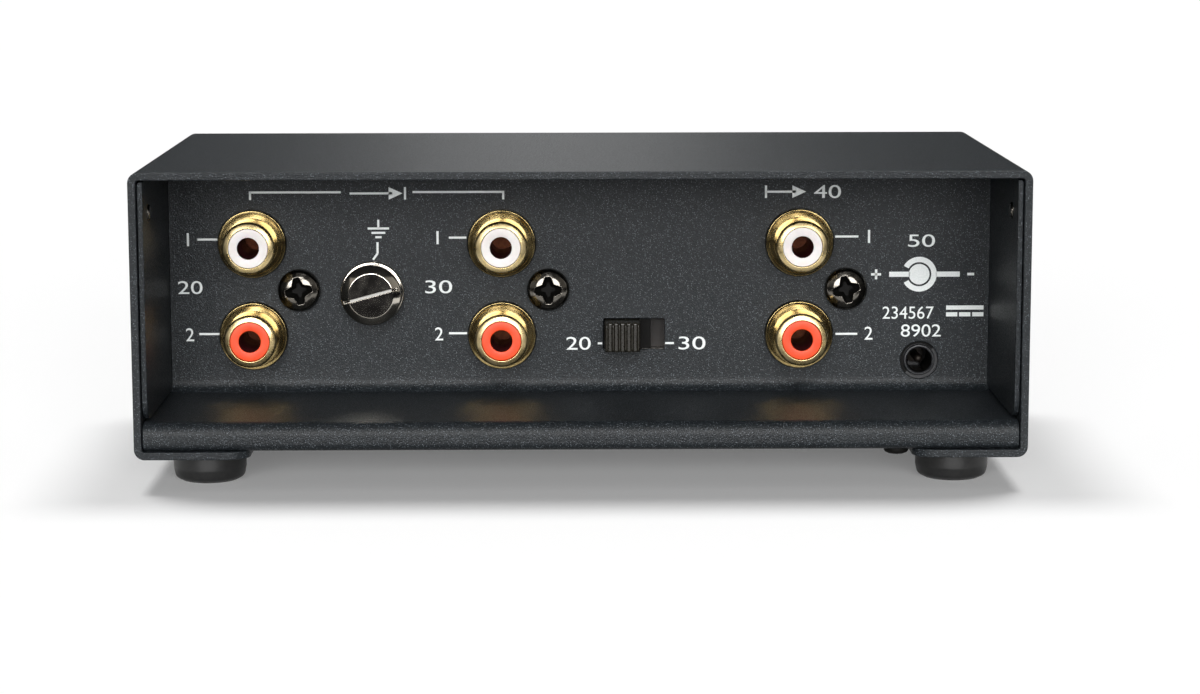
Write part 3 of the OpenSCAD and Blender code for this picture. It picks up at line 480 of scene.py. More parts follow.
def coat(tree, mix, tones, haze, roughness, height, depth, strength=1.0, **values):
    """Ends a material: a mix runs between two tones, a haze between two roughnesses, and a height
    gives a bump of a depth in mm. Values set the shader's other sockets by name."""
    pair = {"Factor": mix, 6: tones[0], 7: tones[1]}
    rough = {"Value": haze, **SPREAD, "To Min": roughness[0], "To Max": roughness[1]}
    bump = {"Height": height, "Strength": strength, "Distance": depth * MM}
    inputs = {name.replace("_", " "): value for name, value in values.items()}
    inputs["Base Color"] = add(tree, "ShaderNodeMix", pair, data_type="RGBA").outputs[2]
    inputs["Roughness"] = add(tree, "ShaderNodeMapRange", rough)
    inputs["Normal"] = add(tree, "ShaderNodeBump", bump)
    shader = add(tree, "ShaderNodeBsdfPrincipled", inputs)
    add(tree, "ShaderNodeOutputMaterial", {"Surface": shader})


def mottled(name, codes, size, roughness, depth, **values):
    """A plain finish: two tones, marks of a size in mm, roughness from and to, bump depth in mm."""
    made, tree, place = new_material(name)
    marks = add(tree, "ShaderNodeTexNoise", {"Vector": place, "Scale": per_mm(size), "Detail": 4.0})
    even = add(tree, "ShaderNodeMapRange", {"Value": marks, **SPREAD})
    tones = [linear(code) for code in codes]
    coat(tree, even, tones, marks, roughness, marks, depth, **values)
    return made


# %% Moulded, plated and rubber finishes
METAL = {"Metallic": 1.0}
# Nylon keeps the fine grain of its mould; a trace of light passes through it.
GLOW = {"Subsurface_Weight": 0.08, "Subsurface_Scale": 0.5 * MM}
white_nylon = mottled("white_nylon", ("F3ECE9", "FBF6F4"), 1.5, (0.34, 0.42), 0.002, **GLOW)
red_nylon = mottled("red_nylon", ("E8430F", "F04E18"), 1.5, (0.34, 0.42), 0.002, **GLOW)
# ABS from a spark-eroded mould: a satin grain that shows only where light grazes it.
black_moulding = mottled("black_abs_moulding", ("1C1D1F", "28292C"), 0.25, (0.28, 0.4), 0.003)
# Acetal is a warmer black, with the shine that thumbs give it.
knob_plastic = mottled("black_acetal_slider", ("201E19", "2E2B24"), 0.3, (0.24, 0.34), 0.003)
# Rubber: matt, with the dust that it always holds.
foot_rubber = mottled("black_rubber", ("161617", "232322"), 0.6, (0.36, 0.5), 0.008)
# The contacts are darkened as painted shade: a dark bronze in the sockets, near black in the inlet.
bronze_painted_shade = mottled("contacts_painted_shade", ("3A2018", "5A3524"), 0.8, (0.3, 0.42), 0.002, **METAL)
inlet_painted_shade = mottled("inlet_contact_painted_shade", ("171412", "26201B"), 0.8, (0.4, 0.5), 0.002, Metallic=0.7)
# The walls of the insulators' holes: a dark maroon, painted shade with a tint.
maroon_bore_shade = mottled("maroon_painted_bore_shade", ("2E0A0E", "4A1018"), 0.8, (0.35, 0.5), 0.002)
# Oil black hardly shines. It is the earth screw's own finish; elsewhere it is painted shade, on the
# walls of the socket screws' crosses, in the inlet's bore and on the slider behind the window.
DULL = {"Specular_IOR_Level": 0.12}
dull_black_and_painted_shade = mottled("blackened_steel_and_painted_shade", ("080807", "100F0E"), 0.4, (0.5, 0.65), 0.002, **DULL)
# A saw tears metal a little, so the floor of its slot scatters light that the plate would mirror.
sawn_nickel = mottled("sawn_nickel", ("A8A7A4", "C8C6C2"), 0.3, (0.45, 0.6), 0.002, Metallic=0.6)
# Black nickel over a machine screw: a dark mirror.
black_nickel = mottled("black_nickel_plate", ("6A6660", "7A766F"), 0.8, (0.12, 0.2), 0.0004, **METAL)
# Tin is a soft silver, clear zinc a cooler grey.
tinned = mottled("bright_tin_plate", ("B7B3AB", "CBC8C2"), 0.8, (0.22, 0.36), 0.002, **METAL)
zinc_steel = mottled("clear_zinc_plate", ("8E9499", "A9ADB0"), 0.7, (0.28, 0.42), 0.002, **METAL)
# Rolled bronze strip is redder than turned brass.
bronze = mottled("phosphor_bronze_strip", ("A8713F", "BC8650"), 1.2, (0.26, 0.38), 0.002, **METAL)
brass = mottled("turned_brass", ("B08C3F", "C7A352"), 0.5, (0.24, 0.34), 0.002, **METAL)
# Barrel-tumbled before it is plated, so the gold shows no tool marks and mirrors the dark paint
# round it. Plugs have rubbed the mouths to a satin; their lighter gold is a painted highlight.
gilt = mottled("gold_plate", ("A08B5C", "B8A371"), 2.0, (0.10, 0.15), 0.0004, **METAL)
satin_gold_painted_highlight = mottled("rubbed_gold_painted_highlight", ("D0B880", "E4CF9F"), 1.5, (0.24, 0.32), 0.0004, **METAL)
# Resin-bonded paper and the filled epoxy of chips are dull; their blacks differ in warmth.
phenolic = mottled("phenolic_paper_board", ("17110E", "221914"), 0.5, (0.45, 0.6), 0.004)
chip_epoxy = mottled("moulded_epoxy", ("161617", "202022"), 0.12, (0.5, 0.62), 0.004)
# Shrunk sleeves, dipped epoxy and lacquer dry smooth, with a tight highlight.
blue_sleeve = mottled("blue_pvc_sleeve", ("1F2B55", "273566"), 2.0, (0.24, 0.32), 0.002)
black_sleeve = mottled("black_pvc_sleeve", ("1A1A1C", "232326"), 2.0, (0.24, 0.32), 0.002)
red_film = mottled("red_epoxy_dip", ("8E2A1F", "A03428"), 1.5, (0.22, 0.34), 0.004)
resistor_lacquer = mottled("beige_lacquer", ("B69F77", "C8B48D"), 0.6, (0.32, 0.45), 0.004)
# The lens is diffused epoxy: light goes in and comes out softened.
CLEAR = {"Transmission_Weight": 0.45, "IOR": 1.54}
lamp_lens = mottled("green_epoxy_lens", ("5E9E58", "79B872"), 1.0, (0.12, 0.2), 0.001, **CLEAR)
# Screen ink: dry, a little uneven where the mesh let less through.
screen_ink = mottled("white_screen_ink", ("DDE2E1", "F0F3F2"), 0.25, (0.5, 0.62), 0.003)
print("plain finishes:", len(bpy.data.materials) - 1)

# %% [markdown]
# ### Textured powder coat
#
# Cover and chassis are steel under a baked polyester powder coat, graphite grey with a fine texture
# and mica flecks. The powder flows into shallow grains as it melts, which scatters highlights. A
# single colour with one roughness would look like plastic, so the material has three layers: slow
# changes of tone, grains as bump, and separate bright flecks. The flecks are lighter dots of colour
# that stand for the mica and are also painted glints, where the real coat sparkles in a lamp.

# %% Powder coat
GRAIN = 0.24  # mm, the texture's grains
GRAIN_DEPTH = 0.085  # mm
FLECK = 0.2  # mm between flecks: mica, and painted glints
FLECK_SIZE = (0.10, 0.38)  # of that distance, where a fleck begins to fade and where it ends
TONE = 1.2  # mm, the slow changes of tone

powder_coat, tree, place = new_material("textured_powder_coat")
tone = add(tree, "ShaderNodeTexNoise", {"Vector": place, "Scale": per_mm(TONE), "Detail": 3.0})
grain = add(tree, "ShaderNodeTexNoise", {"Vector": place, "Scale": per_mm(GRAIN), "Detail": 2.0})
# The flecks: lighter dots of colour, part mica and part painted glints
cells = add(tree, "ShaderNodeTexVoronoi", {"Vector": place, "Scale": per_mm(FLECK)})
chance = add(tree, "ShaderNodeSeparateColor", {0: cells.outputs["Color"]})
size = {"From Min": FLECK_SIZE[0], "From Max": FLECK_SIZE[1], "To Min": 1.0, "To Max": 0.0}
near = add(tree, "ShaderNodeMapRange", {"Value": cells.outputs["Distance"], **size})
lucky = add(tree, "ShaderNodeMapRange", {"Value": chance.outputs[0], "From Min": 0.3, "From Max": 1.0})
fleck = add(tree, "ShaderNodeMath", {0: near, 1: lucky}, operation="MULTIPLY")
tones = {6: linear("121417"), 7: linear("22272A")}
base = add(tree, "ShaderNodeMix", {"Factor": tone, **tones}, data_type="RGBA").outputs[2]
tones = (base, linear("858C93"))
PAINT = {"IOR": 1.5, "Specular_IOR_Level": 0.23}
coat(tree, fleck, tones, grain, (0.46, 0.3), grain, GRAIN_DEPTH, **PAINT)
print("powder coat: grains", GRAIN, "mm, flecks", FLECK, "mm apart")

# %% [markdown]
# ### Turned nickel
#
# A lathe leaves fine rings that follow the cut. They survive under bright nickel and draw each
# highlight out a little. The lathe's own UV map gives the way along the outline, so one wave along it
# makes rings on a face and lines round a barrel alike. Real ones lie a few hundredths of a millimetre
# apart, too fine to show, so they are drawn coarser.

# %% Bright nickel
RING = 0.2  # mm between rings
WAVE = 2 * math.pi / 20  # a wave texture at a scale of 1 repeats at this step of its coordinate

bright_nickel, tree, place = new_material("bright_nickel_plate")
turning = add(tree, "ShaderNodeSeparateXYZ", {0: add(tree, "ShaderNodeUVMap", uv_map="turning")})
along = add(tree, "ShaderNodeCombineXYZ", {"X": turning.outputs["Y"]})
rings = {"Vector": along, "Scale": WAVE / RING, "Distortion": 1.5, "Detail": 2.0}
rings = add(tree, "ShaderNodeTexWave", rings)
haze = add(tree, "ShaderNodeTexNoise", {"Vector": place, "Scale": per_mm(2.0), "Detail": 3.0})
tones = (linear("BFB8AC"), linear("D2CCC1"))
coat(tree, haze, tones, haze, (0.07, 0.13), rings, 0.0002, **METAL)
print("rings on nickel:", RING, "mm apart")

# %% [markdown]
# ### Brushed anodising, and the board's solder mask
#
# The front panel is aluminium that was brushed along its length and anodised black: scratches many
# times longer than wide catch light as one sheen. The board is glass epoxy under a green solder mask
# that rises over the copper tracks, so its tracks are a change of tone with a bump at their edges.

# %% Anodised front and solder mask
BRUSH = 0.06  # mm across a scratch
BRUSH_RUN = 0.012  # a scratch's width over its length
TRACK = 1.27  # mm, the grid that tracks are laid on

black_anodised, tree, place = new_material("brushed_black_anodising")
stretch = add(tree, "ShaderNodeMapping", {"Vector": place, "Scale": (BRUSH_RUN, 1.0, 1.0)})
scratch = add(tree, "ShaderNodeTexNoise", {"Vector": stretch, "Scale": per_mm(BRUSH), "Detail": 3.0})
tones = (linear("121315"), linear("24262A"))
coat(tree, scratch, tones, scratch, (0.28, 0.46), scratch, 0.01, strength=0.5, Metallic=0.6)

solder_mask, tree, place = new_material("green_solder_mask")
grid = {"Vector": place, "Scale": per_mm(2 * TRACK), "Randomness": 0.35}
lanes = add(tree, "ShaderNodeTexVoronoi", grid, feature="DISTANCE_TO_EDGE")
copper = add(tree, "ShaderNodeMapRange", {"Value": lanes, "From Min": 0.10, "From Max": 0.14})
tones = (linear("14492C"), linear("1F6A41"))
coat(tree, copper, tones, copper, (0.3, 0.3), copper, 0.035, strength=0.6)
print("brush marks", BRUSH, "mm across, tracks on a grid of", TRACK, "mm")

# %% [markdown]
# ## What the frame says
#
# Places are read from the frame's solids, so a piece always sits where its solid is. Only sizes that
# a box can't tell, such as a sheet's thickness or a bend's radius, are written here.


# %% Places
def box_mm(node):
    """Lowest corner, highest corner and middle of a CAD node, in mm."""
    low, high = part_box(node)
    return low / MM, high / MM, (low + high) / 2 / MM


SHEET = 0.8  # thickness of the chassis
COVER_SHEET = 1.2
cover_low, cover_high, _ = box_mm("cover")
chassis_low, chassis_high, _ = box_mm("chassis")
front_low, front_high, _ = box_mm("front_panel")
panel_in = box_mm("mc_socket_block")[0].y  # back face of the rear panel, where the sockets seat
panel_y = panel_in - SHEET  # its outer face
SHELLS = [f"{pair}_{side}_shell" for pair in ("mc", "mm", "out") for side in ("left", "right")]
jacks = [box_mm(shell)[2] for shell in SHELLS]
feet = [box_mm(f"{end}_{side}_foot")[2] for end in ("rear", "front") for side in ("left", "right")]
ground = box_mm("ground_screw")[2]
slot_low, slot_high = Vector((3.7, 0, 17.1)), Vector((13.5, 0, 22.1))  # the selector's window
inlet = box_mm("inlet_pin")[2]
lamp_spot = box_mm("power_lamp")[2]
print(f"cover {tuple(round(v, 1) for v in cover_high - cover_low)} mm, panel at y {panel_y:.1f}")
print("jacks at", [(round(j.x, 1), round(j.z, 1)) for j in jacks])

# %% [markdown]
# ## Folding sheet metal with Geometry Nodes
#
# Cover and chassis are both made on a press brake: a flat strip is bent along straight lines. The
# shape follows a rule, so a Geometry Nodes tree makes it: a line of corners, each rounded by its bend
# radius, drawn out along the bends. The corners come in as points, each with its radius as an
# attribute. Solidify then gives the sheet its thickness.


# %% Geometry Nodes, and how they are run
def new_tree(name, inputs):
    """An empty geometry tree with named inputs, from a dictionary of name to kind of socket."""
    made = bpy.data.node_groups.new(name, "GeometryNodeTree")
    made.interface.new_socket("Geometry", in_out="INPUT", socket_type="NodeSocketGeometry")
    for key, kind in inputs.items():
        made.interface.new_socket(key, in_out="INPUT", socket_type="NodeSocket" + kind)
    made.interface.new_socket("Geometry", in_out="OUTPUT", socket_type="NodeSocketGeometry")
    return made, add(made, "NodeGroupInput").outputs


def end_tree(tree, geometry, material):
    """Ends a tree with real meshes that carry their material."""
    real = add(tree, "GeometryNodeRealizeInstances", {0: geometry})
    dressed = add(tree, "GeometryNodeSetMaterial", {0: real, "Material": material})
    add(tree, "NodeGroupOutput", {0: dressed})


def grow(name, mesh, tree, values):
    """Runs a tree on a mesh with its named inputs and keeps the result as a plain mesh."""
    piece = new_object(name, mesh)
    modifier = piece.modifiers.new("grow", "NODES")
    modifier.node_group = tree
    for item in tree.interface.items_tree:
        if item.in_out == "INPUT" and item.name in values:
            modifier[item.identifier] = values[item.name]
    return settle(piece)


# %% The tree that folds a sheet
BEND_STEPS = 8  # points round each bend
kinds = {"Draw": "Vector", "Bend steps": "Int", "Material": "Material"}
fold_tree, given = new_tree("fold_a_sheet", kinds)
line = add(fold_tree, "GeometryNodeMeshToCurve", {0: given["Geometry"]})
bend = add(fold_tree, "GeometryNodeInputNamedAttribute", {"Name": "bend"}, data_type="FLOAT")
turn = {"Curve": line, "Radius": bend, "Count": given["Bend steps"], "Limit Radius": True}
bent = add(fold_tree, "GeometryNodeFilletCurve", turn, mode="POLY")
strip = add(fold_tree, "GeometryNodeCurveToMesh", {0: bent})
draw = {"Mesh": strip, "Offset": given["Draw"], "Offset Scale": 1.0}
drawn = add(fold_tree, "GeometryNodeExtrudeMesh", draw, mode="EDGES")
end_tree(fold_tree, drawn.outputs["Mesh"], given["Material"])


def folded(name, corners, draw, sheet, side, material):
    """A bent sheet: (x, y, z, bend radius) corners in mm, drawn out by a vector in mm. side says
    where the thickness goes: -1 and 1 to one side of the line or the other, 0 to both."""
    mesh = bpy.data.meshes.new(name)
    spots = [Vector(c[:3]) * MM for c in corners]
    mesh.from_pydata(spots, [(i, i + 1) for i in range(len(corners) - 1)], [])
    mesh.attributes.new("bend", "FLOAT", "POINT")
    mesh.attributes["bend"].data.foreach_set("value", [c[3] * MM for c in corners])
    values = {"Draw": Vector(draw) * MM, "Bend steps": BEND_STEPS, "Material": material}
    piece = grow(name, mesh, fold_tree, values)
    wall = piece.modifiers.new("sheet", "SOLIDIFY")
    wall.thickness = sheet * MM
    wall.offset = side
    wall.use_even_offset = True
    return settle(piece)


# %% [markdown]
# ## The cover
#
# One strip of 1.2 mm steel: two return flanges under the case, two sides and the top. Its corners
# are listed along the outside, so the thickness goes inwards. The flanges' free corners are rounded
# so that they don't cut a hand, and the side screws are countersunk. Powder builds up thinly on a
# sheared edge and leaves it just round enough to catch a line of light.

# %% Cover
BEND = 1.6  # outside radius of the cover's bends
FLANGE = 17.3  # width of a return flange
FLANGE_CORNER = 3.0
PAINTED_EDGE = 0.16  # how round the powder leaves a sheared edge
SIDE_SCREW_Y = 29.0
SIDE_SCREW_Z = 41.8
FOOT_SCREW = 3.0
SCREW_HOLE = FOOT_SCREW + 0.2


def waste(corner, before, after, radius, spare=1.0):
    """What is cut off a square corner to round it, with a little to spare outside."""
    points = arc(corner, before, after, radius, 8)
    here = Vector(corner)
    to_before = (Vector(before) - here).normalized() * spare
    to_after = (Vector(after) - here).normalized() * spare
    return points + [points[-1] - to_before, here - to_before - to_after, points[0] - to_after]


left, right = cover_low.x, cover_high.x
bottom, top = cover_low.z, cover_high.z
rear, front = cover_low.y, cover_high.y
corners = [
    (left + FLANGE, rear, bottom, 0),
    (left, rear, bottom, BEND),
    (left, rear, top, BEND),
    (right, rear, top, BEND),
    (right, rear, bottom, BEND),
    (right - FLANGE, rear, bottom, 0),
]
cover = folded("cover", corners, (0, front - rear, 0), COVER_SHEET, 1, powder_coat)

offcuts = []
for edge_x, side_x in ((left + FLANGE, left), (right - FLANGE, right)):
    for end_y in (rear, front):
        offcuts.append(waste((edge_x, end_y), (edge_x, 0), (side_x, end_y), FLANGE_CORNER))
foot_holes = [disc(foot.x, foot.y, SCREW_HOLE) for foot in feet]
for outlines in (offcuts, foot_holes):
    cut(cover, outlines, bottom, bottom + COVER_SHEET)
print("cover:", len(cover.data.polygons), "faces before its edges are softened")


# %% [markdown]
# ## Copies with Geometry Nodes
#
# Screws, sockets and feet repeat, so each is made once and set out by a tree: one copy on each
# point, turned as the point's attribute says. Screws stop at any angle when they bite, so the tree
# can also spin each copy about its own axis by a seeded random turn.


# %% The tree that sets out copies
kinds = {"Part": "Object", "Any turn": "Float", "Seed": "Int", "Material": "Material"}
copies_tree, given = new_tree("set_out_copies", kinds)
part = add(copies_tree, "GeometryNodeObjectInfo", {"Object": given["Part"]}, transform_space="ORIGINAL")
turn = add(copies_tree, "GeometryNodeInputNamedAttribute", {"Name": "turn"}, data_type="FLOAT_VECTOR")
spots = {"Points": given["Geometry"], "Instance": part.outputs["Geometry"], "Rotation": turn}
placed = add(copies_tree, "GeometryNodeInstanceOnPoints", spots)
chance = {2: 0.0, 3: given["Any turn"], "Seed": given["Seed"]}
chance = add(copies_tree, "FunctionNodeRandomValue", chance, data_type="FLOAT")
about = add(copies_tree, "ShaderNodeCombineXYZ", {"Z": chance.outputs[1]})
spun = {"Instances": placed, "Rotation": about, "Local Space": True}
spun = add(copies_tree, "GeometryNodeRotateInstances", spun)
end_tree(copies_tree, spun, given["Material"])

UP, DOWN, REARWARD = (0, 0, 0), (math.pi, 0, 0), (math.pi / 2, 0, 0)
TO_LEFT, TO_RIGHT = (0, -math.pi / 2, 0), (0, math.pi / 2, 0)


def copies(name, part, spots, material, any_turn=0.0, seed=1):
    """Sets a part out at (place in mm, turn) spots, as one mesh. The part itself goes away."""
    mesh = bpy.data.meshes.new(name)
    mesh.from_pydata([Vector(spot) * MM for spot, _ in spots], [], [])
    mesh.attributes.new("turn", "FLOAT_VECTOR", "POINT")
    mesh.attributes["turn"].data.foreach_set("vector", [angle for _, turn in spots for angle in turn])
    values = {"Part": part, "Any turn": any_turn, "Seed": seed, "Material": material}
    piece = grow(name, mesh, copies_tree, values)
    bpy.data.objects.remove(part)
    return piece


# %% Countersinks for the side screws
side_spots = []
for side_x, turn in ((left, TO_LEFT), (right, TO_RIGHT)):
    for y in (-SIDE_SCREW_Y, SIDE_SCREW_Y):
        side_spots.append(((side_x, y, SIDE_SCREW_Z), turn))
# An outline for the lathe: down the cone, then a hole for the thread, with spare at both ends.
SINK = [(0, -2), (1.35, -2), (1.35, -1.0), (2.85, 0.5), (0, 0.5)]
sinks = copies("sinks", turned("sink", SINK, steps=40), side_spots, powder_coat)
combine(cover, sinks, "DIFFERENCE")
soften(cover, PAINTED_EDGE)
finish(cover, powder_coat, "powder_coat", "root", "cover")

# %% [markdown]
# ## The chassis
#
# A second sheet, 0.8 mm thick, makes nearly everything inside the cover. Seen from its end it runs
# down the front flange, along the bottom, up a lip, back over the recess floor and up into the rear
# panel. The line here is the middle of the sheet. The panel's sides are bent back to the rim as
# cheeks, and the front flange has ears at its ends, so the cover's side screws have something to bite.

# %% Chassis: the folded sheet
LIP_TOP, BOTTOM_FOLD, PANEL_FOLD = 1.6, 0.8, 2.4  # radii at the middle of the sheet
SHELF = 10.5  # height of the recess floor's upper face
half_sheet = SHEET / 2
side = chassis_high.x
base_z = chassis_low.z + half_sheet
lip_y = chassis_low.y + half_sheet
flange_y = chassis_high.y - half_sheet
mid_panel = panel_y + half_sheet

corners = [
    (-side, mid_panel, chassis_high.z, 0),
    (-side, mid_panel, SHELF - half_sheet, PANEL_FOLD),
    (-side, lip_y, SHELF - half_sheet, LIP_TOP),
    (-side, lip_y, base_z, BOTTOM_FOLD),
    (-side, flange_y, base_z, BOTTOM_FOLD),
    (-side, flange_y, chassis_high.z, 0),
]
chassis = folded("chassis", corners, (2 * side, 0, 0), SHEET, 0, powder_coat)

# %% Chassis: cheeks and ears
CHEEK_BACK = 0.5  # how far the cheeks stand back from the lip
CHEEK_CORNER = 3.0
GAP = 0.3  # between the cheeks and the recess floor
EAR, EAR_HALF, EAR_CORNER = 8.2, 6.0, 1.0  # length from the middle of the front flange, half height
EAR_DROP = 0.9  # what is off an ear's top, under the cover's bend
INNER_BEND = 0.5  # corner of the room that the cover's bends leave inside
DEPTH = 40  # more than half the depth of the case

cheek_y = chassis_low.y + CHEEK_BACK
low, high = SHELF + GAP, chassis_high.z
cheek = rounded([(cheek_y, low, CHEEK_CORNER), (mid_panel, low), (mid_panel, high), (cheek_y, high)])
ear_low, ear_high = SIDE_SCREW_Z - EAR_HALF, SIDE_SCREW_Z + EAR_HALF - EAR_DROP
ear = block(flange_y - EAR, ear_low, flange_y, ear_high, EAR_CORNER)
SIDEWAYS = Matrix(((0, 0, 1, 0), (1, 0, 0, 0), (0, 1, 0, 0), (0, 0, 0, 1)))  # draws in y and z
for x in (-side, side - SHEET):
    for name, outline in (("cheek", cheek), ("ear", ear)):
        combine(chassis, prisms(name, [outline], x, x + SHEET, SIDEWAYS), "UNION")
room = block(-side, chassis_low.z, side, chassis_high.z, INNER_BEND)
combine(chassis, prisms("room", [room], -DEPTH, DEPTH, OUTWARDS), "INTERSECT")
print("chassis:", len(chassis.data.polygons), "faces before it is pierced")

# %% Chassis: what is pierced
STANDOFFS = [(x, y) for y, x0 in ((10.5, 58.5), (28.6, 47.0)) for x in (-x0, x0)]
EARTH_SCREW = (47.9, -32.5)
PLATE_SCREWS = [(-58.2, 27.95), (58.2, 27.95)]  # they hold the front panel
SOCKET_SCREW_X = 7.4
JACK_HOLE, BUSH_HOLE, INLET_HOLE, LAMP_HOLE = 10.9, 5.3, 6.1, 3.4
STANDOFF_HOLE, EARTH_HOLE, PLATE_SCREW_HOLE = 4.1, 2.2, 2.7
WINDOW_CORNER = 0.25
BITE = [(0, -4), (1.3, -4), (1.3, 1), (0, 1)]  # a side screw's hole, as an outline for the lathe
CHASSIS_EDGE = 0.12  # how round the powder leaves its edges

socket_screw_z = (jacks[0].z + jacks[1].z) / 2
socket_screws = [(jack.x + SOCKET_SCREW_X, socket_screw_z) for jack in jacks[::2]]
in_panel = [disc(jack.x, jack.z, JACK_HOLE, 72) for jack in jacks]
in_panel += [disc(x, z, SCREW_HOLE) for x, z in socket_screws]
in_panel += [disc(ground.x, ground.z, BUSH_HOLE), disc(inlet.x, inlet.z, INLET_HOLE)]
in_panel += [block(slot_low.x, slot_low.z, slot_high.x, slot_high.z, WINDOW_CORNER)]
in_bottom = foot_holes + [disc(x, y, STANDOFF_HOLE) for x, y in STANDOFFS]
in_bottom += [disc(*EARTH_SCREW, EARTH_HOLE)]
in_front = [disc(lamp_spot.x, lamp_spot.z, LAMP_HOLE)]
in_front += [disc(x, z, PLATE_SCREW_HOLE) for x, z in PLATE_SCREWS]
cut(chassis, in_panel, -panel_in, -panel_y, OUTWARDS)
cut(chassis, in_bottom, chassis_low.z, chassis_low.z + SPARE)
cut(chassis, in_front, -flange_y, -flange_y, OUTWARDS)
bites = copies("bites", turned("bite", BITE, steps=32), side_spots, powder_coat)
combine(chassis, bites, "DIFFERENCE")
soften(chassis, CHASSIS_EDGE)
finish(chassis, powder_coat, "powder_coat", "root", "chassis")

# %% [markdown]
# ## The front panel
#
# A plate of brushed aluminium, bevelled round its face and drilled for the lamp. It is cut to the
# room inside the cover, so its corners follow the cover's bends.

# %% Front panel
PLATE_LAMP_HOLE = 3.2
PLATE_BEVEL = 0.4

plate = [block(front_low.x, front_low.z, front_high.x, front_high.z, INNER_BEND)]
front_panel = prisms("front_panel", plate, -front_high.y, -front_low.y, OUTWARDS)
drill = [disc(lamp_spot.x, lamp_spot.z, PLATE_LAMP_HOLE)]
cut(front_panel, drill, -front_high.y, -front_low.y, OUTWARDS)
soften(front_panel, PLATE_BEVEL, steps=3)
finish(front_panel, black_anodised, "front_panel", "root", "front_panel")

# %% [markdown]
# ## Phono sockets
#
# Each socket is a turned shell with a collar that seats on the block behind the panel, and a nylon
# insulator that fills it up to just below the mouth. A plug's skirt must slide over the shell, so its
# mouth is well rounded. The shell is one outline for the lathe: up the collar, over its face, up the
# barrel, round the mouth and down the bore.

# %% Shells
COLLAR_R, BARREL_R, BORE_R = 5.35, 4.15, 3.15
COLLAR_H = SHEET + 0.9
BARREL_H = SHEET + 7.0
GROOVE_R = 4.85  # a fine groove that the tool leaves on the collar's face
MOUTH_DROP = 0.3  # how far the mouth slopes back towards its edge
RUBBED_AND_LIT = 0.4  # how far down the barrel the rubbed satin and its painted highlight reach
shell_outline = rounded(
    [
        (BORE_R, 0),
        (COLLAR_R, 0),
        (COLLAR_R, COLLAR_H, 0.1),
        (GROOVE_R + 0.04, COLLAR_H),
        (GROOVE_R, COLLAR_H - 0.03),
        (GROOVE_R - 0.04, COLLAR_H),
        (BARREL_R, COLLAR_H, 0.05),
        (BARREL_R, BARREL_H - MOUTH_DROP, 0.5),
        (BORE_R + 0.05, BARREL_H, 0.1),
        (BORE_R, BARREL_H - 0.1),
    ],
    steps=8,
)
jack_spots = [((jack.x, panel_in, jack.z), REARWARD) for jack in jacks]
shells = copies("socket_shells", turned("shell", shell_outline, steps=96), jack_spots, gilt)
smooth(shells)
finish(shells, gilt, "gilt", "root", *SHELLS)
# The mouths: rubbed satin, in a lighter gold that is a painted highlight
line_with(shells, satin_gold_painted_highlight, lambda place: place.y < panel_in - BARREL_H + MOUTH_DROP + RUBBED_AND_LIT)

# %% Insulators
HOLE_R = 1.725
FILL_H = BARREL_H - 0.3  # just below the mouth
outline = [(HOLE_R, 0), (BORE_R - 0.05, 0), (BORE_R - 0.05, FILL_H, 0.1), (HOLE_R, FILL_H, 0.12)]
insulator_outline = rounded(outline, steps=4)
for side_name, nylon, slot in (
    ("left", white_nylon, "white_insulator"),
    ("right", red_nylon, "red_insulator"),
):
    nodes = [f"{pair}_{side_name}_insulator" for pair in ("mc", "mm", "out")]
    spots = [((p.x, panel_in, p.z), REARWARD) for p in (box_mm(node)[2] for node in nodes)]
    fill = copies(f"{side_name}_insulators", turned("fill", insulator_outline), spots, nylon)
    smooth(fill)
    finish(fill, nylon, slot, "root", *nodes)
    holes = [Vector((place[0], place[2])) for place, _ in spots]
    # The walls of the holes are painted shade, in dark maroon
    line_with(fill, maroon_bore_shade, lambda c: min((c.xz - hole).length for hole in holes) < HOLE_R)

# %% [markdown]
# ## Screws
#
# A pan head is turned with a low dome, then a punch presses the cross into it. The punch is a cross
# that narrows as it goes down, with round inner corners, because the driver's tip has them.


# %% Pan heads and countersunk heads
CROSS, CROSS_DEPTH = 0.74, 0.75  # a recess across a pan head, and its depth, as shares of the head
PUNCH_SPARE = 0.2
TIP = 0.3  # chamfer at the end of a thread


def cross(size, depth, top):
    """The punch for a cross recess, its wide end at a height of top."""
    wing, inner = size * 0.1, size * 0.2
    arms = []
    for turn in range(4):
        a = turn * math.pi / 2
        for x, y, radius in ((size / 2, -wing, 0.1), (size / 2, wing, 0.1), (inner, inner, 0.25)):
            corner = Matrix.Rotation(a, 2) @ Vector((x, y))
            arms.append((corner.x, corner.y, radius * size / 3.3))
    return prisms("punch", [rounded(arms, steps=3)], top - depth, top + PUNCH_SPARE, taper=0.45)


def dome_height(head, height, radius):
    """Height of a pan head's low dome at a distance from its axis."""
    dome = 1.45 * head
    return height - dome + math.sqrt(dome**2 - radius**2)


def pan_head_screw(head, height, thread, length):
    """A pan-head machine screw, its head standing on Z = 0."""
    shoulder = dome_height(head, height, head / 2)
    outline = [(0, -length), (thread / 2 - TIP, -length), (thread / 2, -length + TIP), (thread / 2, 0)]
    rim = [(thread / 2, 0), (head / 2, 0, 0.12), (head / 2, shoulder, 0.14 * head), (0, height)]
    outline += rounded(rim)[1:]
    inner = [i for i, (radius, _) in enumerate(outline) if radius > 0.3 * head][-1]
    crown = [(outline[inner][0] * (1 - i / 8), 0) for i in range(1, 8)]
    outline[inner + 1 : inner + 1] = [(radius, dome_height(head, height, radius)) for radius, _ in crown]
    screw = turned("screw", outline)
    combine(screw, cross(CROSS * head, CROSS_DEPTH * height, height), "DIFFERENCE")
    return soften(screw, 0.012 * head, angle=40)


